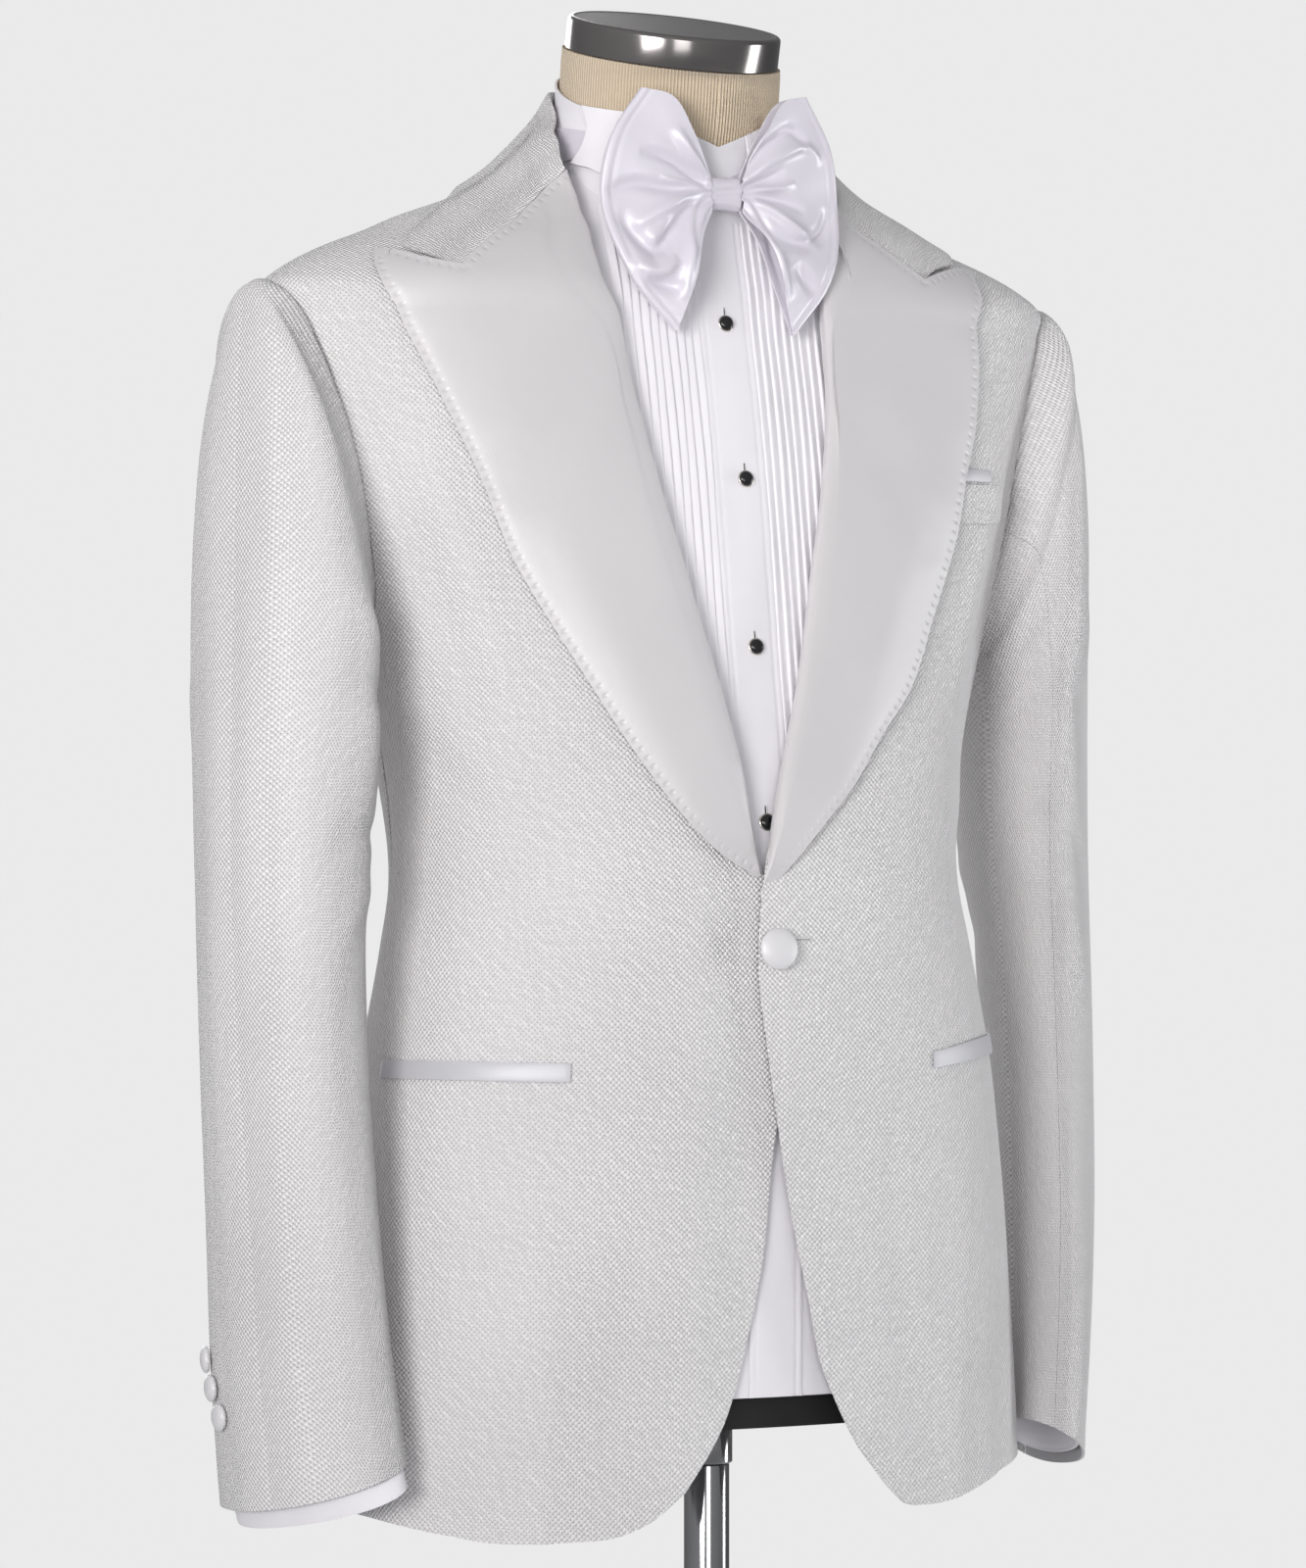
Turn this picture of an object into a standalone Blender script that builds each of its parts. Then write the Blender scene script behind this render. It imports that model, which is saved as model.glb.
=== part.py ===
"""A white tuxedo jacket, pleated dress shirt and satin bow tie on a limbless dress form with a pole stand.

Metres, +Z up. The origin is the centre of the base plate's underside, and the garment's front faces -Y, so
that the wearer's left is at +X. Every cloth panel is a thin wall on one torso surface: a place on it is an
angle from the front centre, a height, and a distance out from the surface.
"""

import math

import bmesh
import bpy
import numpy as np
from mathutils import Vector

# ---- driving sizes -------------------------------------------------------------------------------------
CLOTH = 0.0015          # jacket cloth with its interlining
SATIN = 0.0012
SHIRTING = 0.0012
SEAM = 0.0004           # between the edges of two sewn pieces
LAID = 0.0004           # between a panel and what lies on it
UNDER_LAP = 0.0048      # how deep the right front lies where the left one covers it

BASE_RADIUS, BASE_THICK = 0.170, 0.008
POLE_RADIUS = 0.0125
TUBE_RADIUS, TUBE_FOOT = 0.0142, 0.746      # the wider tube under the form
FORM_FOOT, BAND_TOP = 0.772, 0.788          # the form's dark bottom band
SHIRT_REST = 0.0021                         # how deep the shirt lies along the shoulder seam
CAP_RADIUS, CAP_THICK, CAP_HEIGHT = 0.0597, 0.018, 1.5248
NECK_TILT = math.radians(14)              # the neck's end plane leans forward
SHIRT_FOOT = 0.789

FRONT_BUTTON_RADIUS, FRONT_BUTTON_HEIGHT = 0.0112, 1.031
SLEEVE_BUTTON_RADIUS, SLEEVE_BUTTON_STAND = 0.0075, 0.0003
STUD_RADIUS = 0.0047
STUDS = ((0.0000, 1.3735), (0.0030, 1.2877), (0.0017, 1.1960), (0.0000, 1.1005))      # x and height
PLACKET_HALF = 0.0155
TUCKS, TUCK_PITCH, TUCK_RISE = 10, 0.0050, 0.0011
KNOT_HEIGHT, KNOT_DEPTH = 1.4435, -0.0183
KNOT_HALF = (0.0092, 0.0060, 0.0098)        # half its width, depth and height

SEAM_STEPS = 8         # steps along the side seams
RING = 20               # steps round an armhole and a sleeve
FRONT_JOIN, TOP, BACK_JOIN = 1, 10, 18      # steps where the armhole meets the seams and the shoulder
SHOULDER_STEPS = 7
NECK_STEPS, BACK_NECK_STEPS = 3, 5

# ---- the torso surface ---------------------------------------------------------------------------------
# widest: the y of the widest points. roundness: 1 is an ellipse, less is squarer.
# shirt and form: how deep the shirt's and the form's faces lie under the jacket's.
BODY_COLUMNS = ("height", "half_width", "front", "back", "widest", "roundness", "shirt", "form")
BODY = (
    (0.700, 0.2015, -0.0880, 0.1660, 0.035, 0.88, 0.0090, 0.0170),
    (0.800, 0.1975, -0.0895, 0.1630, 0.035, 0.88, 0.0090, 0.0160),
    (0.900, 0.1900, -0.0905, 0.1580, 0.036, 0.88, 0.0092, 0.0155),
    (0.968, 0.1820, -0.0905, 0.1530, 0.037, 0.88, 0.0095, 0.0150),
    (1.030, 0.1700, -0.0870, 0.1500, 0.039, 0.88, 0.0094, 0.0150),
    (1.066, 0.1635, -0.0830, 0.1510, 0.041, 0.88, 0.0094, 0.0150),
    (1.120, 0.1665, -0.0755, 0.1580, 0.045, 0.86, 0.0094, 0.0150),
    (1.200, 0.1860, -0.0620, 0.1700, 0.052, 0.82, 0.0092, 0.0150),
    (1.280, 0.2120, -0.0480, 0.1770, 0.058, 0.80, 0.0095, 0.0190),
    (1.340, 0.2285, -0.0360, 0.1750, 0.060, 0.82, 0.0100, 0.0225),
    (1.375, 0.2360, -0.0280, 0.1660, 0.058, 0.86, 0.0105, 0.0245),
    (1.392, 0.2385, -0.0250, 0.1580, 0.057, 0.92, 0.0110, 0.0255),
    (1.402, 0.2265, -0.0225, 0.1530, 0.057, 1.00, 0.0115, 0.0260),
    (1.414, 0.2030, -0.0197, 0.1475, 0.058, 1.10, 0.0120, 0.0265),
    (1.423, 0.1800, -0.0183, 0.1435, 0.0585, 1.20, 0.0125, 0.0265),
    (1.430, 0.1640, -0.0175, 0.1405, 0.059, 1.27, 0.0135, 0.0250),
    (1.443, 0.1290, -0.0168, 0.1348, 0.058, 1.30, 0.0150, 0.0260),
    (1.455, 0.1050, -0.0175, 0.1310, 0.056, 1.20, 0.0175, 0.0240),
    (1.465, 0.0910, -0.0188, 0.1280, 0.0535, 1.10, 0.0190, 0.0240),
    (1.475, 0.0795, -0.0195, 0.1245, 0.0505, 1.03, 0.0190, 0.0240),
    (1.487, 0.0697, -0.0196, 0.1184, 0.0478, 1.00, 0.0080, 0.0240),
    (1.500, 0.0673, -0.0213, 0.1140, 0.0460, 1.00, 0.0031, 0.0240),
    (1.535, 0.0671, -0.0253, 0.1090, 0.0415, 1.00, 0.0027, 0.0240),
)
MIDDLE_DEPTH = {"shirt": 0.0070, "form": 0.0160}    # the most that they lie under the middle of front and back
NECK_Y, NECK_LEAN = 0.0460, -0.13            # the neck's middle at height 1.5, and how it leans forward
NECK_RADIUS, COLLAR_RADIUS = 0.0615, 0.0636
FORM_NECK = (                                # height, half width, front, back
    (1.426, 0.1120, 0.0005, 0.1260), (1.436, 0.0880, -0.0010, 0.1225), (1.446, 0.0720, -0.0040, 0.1190),
    (1.457, 0.0640, -0.0070, 0.1155), (1.469, 0.0620, -0.0098, 0.1130), (1.484, 0.0615, -0.0134, 0.1098),
    (1.505, 0.0615, -0.0162, 0.1068),
)

# ---- seams and edges -----------------------------------------------------------------------------------
# Rows of (angle, height) unless a name says x. Angles count from the front centre to the wearer's own side.
ARMHOLE = (
    (97, 1.197), (88, 1.201), (80, 1.218), (74, 1.250), (70.5, 1.285), (69.5, 1.318), (71.5, 1.352),
    (78, 1.381), (90, 1.3935), (100, 1.385), (107, 1.362), (111, 1.327), (113, 1.287), (113, 1.247),
    (110.5, 1.217), (104, 1.202),
)
JOIN_ROWS = ((88, 1.201), (90, 1.3935), (110.5, 1.217))     # the side seams and the shoulder meet it here
FRONT_SIDE_SEAM = ((97, 0.745), (99, 0.90), (101, 1.066), (95, 1.15))
BACK_SIDE_SEAM = ((132, 0.749), (132, 0.90), (133, 1.066), (123, 1.15))
BACK_HEM = 0.752
BACK_LEVELS = (1.245, 1.300, 1.345, 1.382, 1.412, 1.434, 1.451)       # of the back's rows above the armholes
NECK_POINT = (95, 1.4705)
SHOULDER_SEAM = ((94, 1.452), (93, 1.4325), (92, 1.412))
BACK_NECK = ((180, 1.465), (140, 1.468))
FRONT_NECK = ((75, 1.4650), NECK_POINT)
SHIRT_NECK = ((0, 1.428), (22, 1.434), (40, 1.448), (60, 1.464), (80, 1.4705), (95, 1.4715), (140, 1.470),
              (180, 1.468))

# Front edges by x: the cut-away, the overlap and the lower roll line.
EDGE_X = {
    "l": ((0.0486, 0.7599), (0.0405, 0.7724), (0.0325, 0.7874), (0.0246, 0.8045), (0.0157, 0.842),
          (0.0050, 0.888), (-0.0035, 0.937), (-0.0105, 0.985), (-0.0137, 1.0136), (-0.0115, 1.048),
          (-0.0064, 1.0756), (0.0050, 1.120), (0.0218, 1.1757), (0.0334, 1.223)),
    "r": ((0.0572, 0.7407), (0.0329, 0.7783), (0.0195, 0.820), (0.0106, 0.8624), (0.0052, 0.915),
          (-0.0030, 0.965), (-0.0085, 1.015), (-0.0060, 1.045), (0.0065, 1.0737), (0.0141, 1.110),
          (0.0269, 1.1732), (0.0390, 1.224)),
}
ROLL = {
    "l": ((6.5, 1.223), (9.1, 1.292), (10.5, 1.342), (10.9, 1.366), (13.6, 1.398), (20.0, 1.414),
          (29.0, 1.431), (38, 1.4440), (46, 1.4515), (52, 1.4556)),
    "r": ((7.9, 1.224), (10.48, 1.2893), (12.2, 1.3373), (14.9, 1.3856), (21.5, 1.4071), (35, 1.4322),
          (47, 1.4494), (52, 1.4556)),
}
HEMS = {
    "l": ((14.3, 0.7486), (17.7, 0.7358), (21.0, 0.7272), (25.9, 0.7255), (36, 0.7291), (47.5, 0.7358),
          (60, 0.7405), (78, 0.7440)),
    "r": ((19.5, 0.7255), (24, 0.7192), (34.5, 0.7160), (47, 0.7154), (61, 0.7195), (75, 0.7240)),
}
HEM_DROP = {"l": 0.0, "r": -0.019}          # the wearer's right hangs lower at the side

# Lapels: outer edge, roll line below the chest by x, gorge, and the peak's upper edge.
LAPEL_OUTER = {
    "l": ((1.0, 1.0650), (7.3, 1.0954), (14.7, 1.120), (20.9, 1.1468), (27.3, 1.1697), (33.0, 1.2150),
          (36.5, 1.2560), (37.8, 1.2932), (39.3, 1.3142), (40.3, 1.3455), (41.5, 1.3850), (47.5, 1.400),
          (53.8, 1.4078)),
    "r": ((5.2, 1.0650), (10.5, 1.0855), (22.8, 1.1321), (31.0, 1.1826), (38.4, 1.2413), (40.2, 1.2800),
          (43.0, 1.3140), (48.6, 1.3620), (52.7, 1.3895), (57.5, 1.3995), (61.0, 1.4062)),
}
LAPEL_ROLL_X = {
    "l": ((-0.0100, 1.0600), (-0.0064, 1.0756), (0.0050, 1.120), (0.0218, 1.1757), (0.0334, 1.223)),
    "r": ((0.0078, 1.0710), (0.0141, 1.110), (0.0269, 1.1732), (0.0390, 1.224)),
}
GORGE = {
    "l": ((52, 1.4556), (49.5, 1.4495), (44.5, 1.4420), (37.6, 1.4321), (34.8, 1.4185), (33.6, 1.4094), (33.4, 1.3995)),
    "r": ((52, 1.4556), (50.4, 1.4452), (46.4, 1.4346), (44.4, 1.4272), (42.2, 1.419), (41.2, 1.4103), (39.8, 1.3970)),
}
PEAK_TOP = {"l": ((33.4, 1.3995), (39.4, 1.4035), (47, 1.4070), (53.8, 1.4078)),
            "r": ((39.8, 1.3970), (48.2, 1.4008), (55, 1.4045), (61.0, 1.4062))}
LAPEL_LIFT = ((0.0, 0.0008), (0.15, 0.0030), (0.5, 0.0046), (1.0, 0.0038))

# The collar: its fold line, its lower front edge beside the peak, and its outer edge round the back.
COLLAR_START = (53.2, 1.4562)
COLLAR_FOLD = ((67.8, 1.4705), (87.6, 1.4838), (98.5, 1.4950), (112, 1.5025), (145, 1.5080), (180, 1.5090))
COLLAR_FRONT = {"l": ((41, 1.4064), (50.5, 1.4108)), "r": ((48.2, 1.4034), (56.2, 1.4084))}
COLLAR_EDGE = ((63.7, 1.4224), (70, 1.4333), (82.4, 1.4425), (100, 1.4470), (145, 1.4450), (180, 1.4440))
COLLAR_BELLY, COLLAR_EDGE_OUT, COLLAR_FOLD_OUT = 0.0038, 0.0040, 0.0016
STAND_OUT, STAND_GAP = -0.0010, 0.0007

# Pocket welts, each a lower and an upper edge.
HIP_WELT = {
    "l": (((30.5, 0.9642), (48.5, 0.9678), (88, 0.9690)), ((30.9, 0.9735), (46.6, 0.9782), (88, 0.9795))),
    "r": (((36.9, 0.9608), (60, 0.9613), (88, 0.9604)), ((37.1, 0.9712), (60, 0.9717), (88, 0.9708))),
}
BREAST_WELT = (((31, 1.2648), (45, 1.2655), (57.2, 1.2671)), ((33, 1.2870), (45, 1.2876), (54.3, 1.2879)))
BREAST_SATIN = (((37, 1.2889), (43, 1.2890), (48.4, 1.2892)), ((37, 1.2962), (43, 1.2962), (47.8, 1.2958)))

# ---- sleeves -------------------------------------------------------------------------------------------
# The outer and inner ends of each ring, the y of its middle, half its depth front to back, and its turn
# and pitch in degrees.
SLEEVE_COLUMNS = ("outer_x", "outer_z", "inner_x", "inner_z", "middle_y", "half_depth", "turn", "pitch")
SLEEVE = (
    (0.2495, 1.3900, 0.1930, 1.1900, 0.0585, 0.0580, 3, 0),
    (0.2540, 1.3660, 0.1955, 1.1800, 0.0568, 0.0675, 5, 0),
    (0.2573, 1.3290, 0.1985, 1.1620, 0.0548, 0.0745, 7, 0),
    (0.2600, 1.2700, 0.1995, 1.1360, 0.0528, 0.0780, 8, 1),
    (0.2615, 1.2050, 0.2005, 1.1060, 0.0523, 0.0765, 9, 2),
    (0.2625, 1.1350, 0.2035, 1.0760, 0.0522, 0.0710, 10, 3),
    (0.2628, 1.0600, 0.2085, 1.0310, 0.0500, 0.0660, 11, 4),
    (0.2618, 0.9700, 0.2100, 0.9590, 0.0430, 0.0650, 12, 5),
    (0.2590, 0.8800, 0.2085, 0.8790, 0.0345, 0.0660, 13, 6),
    (0.2560, 0.8070, 0.2065, 0.8160, 0.0285, 0.0670, 15, 8),
    (0.2500, 0.7310, 0.2035, 0.7575, 0.0232, 0.0685, 17, 9),
)
SLEEVE_ROWS = 11
UNDER_FRONT, UNDER_BACK = 4, 14             # ring steps of the sleeve's front and back seams
SHIRT_SLEEVE = ((0.6, 0.0130), (1.4, 0.0115), (2.4, 0.0100), (3.5, 0.0085), (5, 0.0075), (6.5, 0.0065),
                (8, 0.0060))                # rows of the shirt's sleeve and how far inside they lie
CUFF_INSET, CUFF_THICK, CUFF_TALL = 0.0048, 0.0016, 0.060
CUFF_SHOWS = {"l": -0.004, "r": 0.013}      # how far it reaches out of the sleeve
CUFF_SHIFT = (-0.0022, -0.0040, 0.0015)     # its lower edge swings in and forward

# ---- bow tie, by x and height from the front -----------------------------------------------------------
WING_TOP = ((0.0096, 1.4520), (0.0225, 1.4765), (0.0360, 1.4960), (0.0500, 1.4992))
WING_FOOT = ((0.0096, 1.4335), (0.0190, 1.4190), (0.0265, 1.3950), (0.0360, 1.3665))
WING_OUTER = ((0.0500, 1.4992), (0.0668, 1.4720), (0.0720, 1.4360), (0.0605, 1.3960), (0.0360, 1.3665))
WING_SPREAD = ((0.0, 0.0030), (0.45, 0.0065), (1.0, 0.0022))   # half the loop's thickness along the wing
WING_MIDDLE = ((1.36, -0.0400), (1.40, -0.0340), (1.443, -0.0215), (1.47, -0.0225), (1.50, -0.0260))
WING_SWEEP = 0.0060                         # how far back the outer ends lie

# ---- colours -------------------------------------------------------------------------------------------
MATERIALS = {
    "weave": ((0.80, 0.79, 0.775), 0.85, 0.0),
    "satin": ((0.82, 0.81, 0.83), 0.35, 0.0),
    "shirting": ((0.83, 0.81, 0.86), 0.75, 0.0),
    "bow_satin": ((0.80, 0.78, 0.84), 0.30, 0.0),
    "jersey": ((0.62, 0.52, 0.38), 0.90, 0.0),
    "dark_chrome": ((0.20, 0.19, 0.19), 0.15, 1.0),
    "black_band": ((0.02, 0.018, 0.018), 0.45, 0.0),
    "steel": ((0.55, 0.55, 0.56), 0.25, 1.0),
    "onyx": ((0.01, 0.01, 0.01), 0.08, 0.0),
}


# ---- curves and surfaces -------------------------------------------------------------------------------
def smooth(places, values, at):
    """A smooth curve through the values at the places, read at other places."""
    places, values, at = (np.asarray(a, float) for a in (places, values, at))
    slopes = np.gradient(values, places, axis=0)
    i = np.clip(np.searchsorted(places, at, side="right") - 1, 0, len(places) - 2)
    step = places[i + 1] - places[i]
    t = np.clip((at - places[i]) / step, 0, 1)
    if values.ndim > 1:
        step, t = step[..., None], t[..., None]
    start, end = values[i], values[i + 1]
    return (
        start * (2 * t**3 - 3 * t**2 + 1)
        + end * (3 * t**2 - 2 * t**3)
        + step * (slopes[i] * (t**3 - 2 * t**2 + t) + slopes[i + 1] * (t**3 - t**2))
    )


def read_body(name, height):
    table = np.array(BODY)
    return smooth(table[:, 0], table[:, BODY_COLUMNS.index(name)], height)


def depth(name, places):
    """How deep the shirt or the form lies. The shirt comes up close along the shoulder seam."""
    places = np.asarray(places, float)
    angle, height = np.abs(places[..., 0]), places[..., 1]
    at_side = read_body(name, height)
    high = np.clip((height - 1.20) / 0.10, 0, 1)
    in_middle = at_side * (1 - high) + np.minimum(at_side, MIDDLE_DEPTH[name]) * high
    deep = in_middle + (at_side - in_middle) * np.sin(np.radians(angle)) ** 2
    if name == "form":
        return deep
    near = np.exp(-(((angle - 92.5) / 5) ** 2))
    near = near * np.clip((height - 1.375) / 0.010, 0, 1) * np.clip((1.440 - height) / 0.012, 0, 1)
    return deep * (1 - near) + SHIRT_REST * near


def power(value, exponent):
    return np.sign(value) * np.abs(value) ** exponent


def bare_surface(angle, height):
    """Points on the torso surface, from angles in degrees and heights."""
    turn = np.radians(angle)
    widest, roundness = read_body("widest", height), read_body("roundness", height)
    ahead = np.cos(turn)
    reach = np.where(ahead > 0, widest - read_body("front", height), read_body("back", height) - widest)
    across = read_body("half_width", height) * power(np.sin(turn), roundness)
    return np.stack([across, widest - reach * power(ahead, roundness), height + 0 * turn], axis=-1)


def surface(places, out=0.0):
    """Points a distance out from the torso surface. The places' columns are angle, height and maybe out."""
    places = np.asarray(places, float)
    angle, height = places[..., 0], places[..., 1]
    out = np.asarray(out, float) + (places[..., 2] if places.shape[-1] > 2 else 0.0)
    turned = bare_surface(angle + 0.7, height) - bare_surface(angle - 0.7, height)
    raised = bare_surface(angle, height + 0.0015) - bare_surface(angle, height - 0.0015)
    normal = np.cross(turned, raised)
    normal /= np.linalg.norm(normal, axis=-1, keepdims=True)
    return bare_surface(angle, height) + normal * out[..., None]


def angle_at(x, height):
    """The angle of the front point that lies x to the side at a height."""
    share = np.clip(np.abs(x) / read_body("half_width", height), 0, 1)
    return np.degrees(np.sign(x) * np.arcsin(share ** (1 / read_body("roundness", height))))


def from_x(rows):
    rows = np.array(rows, float)
    return np.column_stack([angle_at(rows[:, 0], rows[:, 1]), rows[:, 1:]])


def run(rows, steps, ease=1.0):
    """Evenly spaced places on one smooth curve through the rows, or closer at its start if ease is over 1."""
    rows = np.array(rows, float)
    scale = np.ones(rows.shape[1])
    scale[0] = 0.003 if np.abs(rows[:, 0]).max() > 1.5 else 1.0
    along = np.concatenate([[0], np.cumsum(np.linalg.norm(np.diff(rows * scale, axis=0), axis=1))])
    fine = smooth(along, rows, np.linspace(0, along[-1], 40 * steps))
    length = np.concatenate([[0], np.cumsum(np.linalg.norm(np.diff(fine * scale, axis=0), axis=1))])
    even = length[-1] * np.linspace(0, 1, steps + 1) ** ease
    return np.stack([np.interp(even, length, fine[:, k]) for k in range(rows.shape[1])], axis=1)


def joined(*runs):
    """Runs end to end, each starting where the one before ends."""
    return np.concatenate([runs[0]] + [r[1:] for r in runs[1:]])


def patch(left, right, foot, head):
    """A grid of places between four edges: left and right go up, foot and head go from left to right."""
    v = np.linspace(0, 1, len(left))[:, None, None]
    u = np.linspace(0, 1, len(foot))[None, :, None]
    corners = (1 - u) * (1 - v) * foot[0] + u * (1 - v) * foot[-1] + (1 - u) * v * head[0] + u * v * head[-1]
    return (1 - u) * left[:, None] + u * right[:, None] + (1 - v) * foot[None] + v * head[None] - corners


def trimmed(grid, gap=SEAM / 2, sides="lrfh"):
    """The grid of points with its edges drawn in, so that sewn pieces don't touch."""
    grid = grid.copy()
    for side, edge, inner in (
        ("l", np.s_[:, 0], np.s_[:, 1]), ("r", np.s_[:, -1], np.s_[:, -2]),
        ("f", np.s_[0], np.s_[1]), ("h", np.s_[-1], np.s_[-2]),
    ):
        if side in sides:
            inward = grid[inner] - grid[edge]
            grid[edge] += inward * (gap / np.maximum(np.linalg.norm(inward, axis=-1, keepdims=True), 1e-6))
    return grid


def grid_normals(grid, closed):
    """Unit normals of a grid of points, rows along it and columns round it."""
    if closed:
        round_it = np.roll(grid, -1, axis=1) - np.roll(grid, 1, axis=1)
    else:
        round_it = np.gradient(grid, axis=1)
    normal = np.cross(np.gradient(grid, axis=0), round_it)
    return normal / np.maximum(np.linalg.norm(normal, axis=-1, keepdims=True), 1e-12)


# ---- making objects ------------------------------------------------------------------------------------
def material(name):
    made = bpy.data.materials.get(name)
    if made is None:
        made = bpy.data.materials.new(name)
        made.use_nodes = True
        colour, roughness, metallic = MATERIALS[name]
        shader = made.node_tree.nodes["Principled BSDF"]
        shader.inputs["Base Color"].default_value = (*colour, 1)
        shader.inputs["Roughness"].default_value = roughness
        shader.inputs["Metallic"].default_value = metallic
        made.diffuse_color = (*colour, 1)
    return made


def add_object(name, mesh, finish, smooth_shaded=True):
    made = bpy.data.objects.new(name, mesh)
    parts.objects.link(made)
    mesh.materials.append(material(finish))
    if smooth_shaded:
        mesh.shade_smooth()
        mesh.set_sharp_from_angle(angle=math.radians(40))
    return made


def wall(name, outer, inner, finish, closed=False):
    """A closed wall between two grids of points, open at its ends if it is closed round."""
    rows, columns = outer.shape[:2]
    points = np.concatenate([outer.reshape(-1, 3), inner.reshape(-1, 3)])
    count = rows * columns
    faces = []
    spans = columns if closed else columns - 1
    for r in range(rows - 1):
        for c in range(spans):
            d = (c + 1) % columns
            quad = (r * columns + c, r * columns + d, (r + 1) * columns + d, (r + 1) * columns + c)
            faces.append(quad)
            back = quad[::-1] if closed else quad[:1] + quad[:0:-1]     # a panel is split along the same diagonal
            faces.append(tuple(count + i for i in back))
    for r, turn in ((0, 1), (rows - 1, -1)):
        for c in range(spans):
            d = (c + 1) % columns
            a, b = r * columns + c, r * columns + d
            faces.append((b, a, count + a, count + b)[::turn])
    if not closed:
        for c, turn in ((0, -1), (columns - 1, 1)):
            for r in range(rows - 1):
                a, b = r * columns + c, (r + 1) * columns + c
                faces.append((b, a, count + a, count + b)[::turn])
    mesh = bpy.data.meshes.new(name)
    mesh.from_pydata(points.tolist(), [], faces)
    work = bmesh.new()
    work.from_mesh(mesh)
    if work.calc_volume(signed=True) < 0:
        bmesh.ops.reverse_faces(work, faces=work.faces)
    work.to_mesh(mesh)
    work.free()
    return add_object(name, mesh, finish)


def sided(points, side):
    """Points made for the wearer's left, mirrored for the right."""
    return points * (np.array([-1, 1, 1]) if side == "r" else 1)


def panel(name, places, finish, thick, out=0.0, side="l", sides="lrfh"):
    """A cloth wall on the torso surface, its outer face a distance out."""
    out = np.asarray(out, float)
    outer = trimmed(surface(places, out), sides=sides)
    inner = trimmed(surface(places, out - thick), sides=sides)
    return wall(name, sided(outer, side), sided(inner, side), finish)


def turned(name, profile, finish, steps, place=(0, 0, 0), facing=(0, 0, 1), angle=40):
    """A turned piece: a profile of (radius, height) rows, outer side from the top down, on a Screw."""
    mesh = bpy.data.meshes.new(name)
    mesh.from_pydata([(r, 0, h) for r, h in profile], [(i, i + 1) for i in range(len(profile) - 1)], [])
    made = bpy.data.objects.new(name, mesh)
    parts.objects.link(made)
    mesh.materials.append(material(finish))
    screw = made.modifiers.new("turn", "SCREW")
    screw.steps = screw.render_steps = steps
    screw.use_merge_vertices = True
    screw.merge_threshold = 0.00005
    screw.use_smooth_shade = True
    made.rotation_mode = "QUATERNION"
    made.rotation_quaternion = Vector(facing).to_track_quat("Z", "Y")
    made.location = place
    return made


# ---- seams, worked out once and shared by the panels on both sides --------------------------------------
def armhole_places():
    """The armhole's places, RING steps round it from the underarm towards the front."""
    rows = ARMHOLE + ARMHOLE[:1]
    front_join, top, back_join = (ARMHOLE.index(row) for row in JOIN_ROWS)
    return joined(
        run(rows[: front_join + 1], FRONT_JOIN),
        run(rows[front_join : top + 1], TOP - FRONT_JOIN),
        run(rows[top : back_join + 1], BACK_JOIN - TOP),
        run(rows[back_join:], RING - BACK_JOIN),
    )[:-1]


def shirt_armhole_places():
    """The shirt's armhole lies inside the jacket's."""
    places = armhole.copy()
    places[:, 0] = 91 + (places[:, 0] - 91) * 0.94
    places[:, 1] = np.where(places[:, 1] < 1.29, 1.29 + (places[:, 1] - 1.29) * 0.91, places[:, 1])
    return places


armhole = armhole_places()
shirt_armhole = shirt_armhole_places()
shoulder = run((NECK_POINT, *SHOULDER_SEAM, tuple(armhole[TOP])), SHOULDER_STEPS)
shirt_shoulder = np.vstack([SHIRT_NECK[5:6], shoulder[1:]])


def side_seam(rows, join, drop):
    rows = [(a, h + drop * max(0, (0.9 - h) / 0.155)) for a, h in rows]
    return run((*rows, tuple(armhole[join])), SEAM_STEPS)


def front_neck(side):
    return run((ROLL[side][-1], *FRONT_NECK), NECK_STEPS)


back_neck = run((*BACK_NECK, NECK_POINT), BACK_NECK_STEPS)


# ---- jacket body ---------------------------------------------------------------------------------------
def front_places(side):
    edge_low = from_x(run(EDGE_X[side], SEAM_STEPS))
    edge = joined(edge_low, run(ROLL[side], TOP - FRONT_JOIN - NECK_STEPS), front_neck(side))
    seam = side_seam(FRONT_SIDE_SEAM, FRONT_JOIN, HEM_DROP[side])
    outer = joined(seam, armhole[FRONT_JOIN : TOP + 1])
    foot = run(np.vstack([edge[0], HEMS[side], seam[0]]), SHOULDER_STEPS, ease=1.25)
    return patch(edge, outer, foot, shoulder)


def under_lap(places):
    """The right front lies under the left one near the button."""
    x = bare_surface(places[..., 0], places[..., 1])[..., 0]
    near = np.clip((0.055 - x) / 0.035, 0, 1)
    low = np.clip((1.13 - places[..., 1]) / 0.05, 0, 1)
    return -UNDER_LAP * (near * near * (3 - 2 * near)) * low


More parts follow.
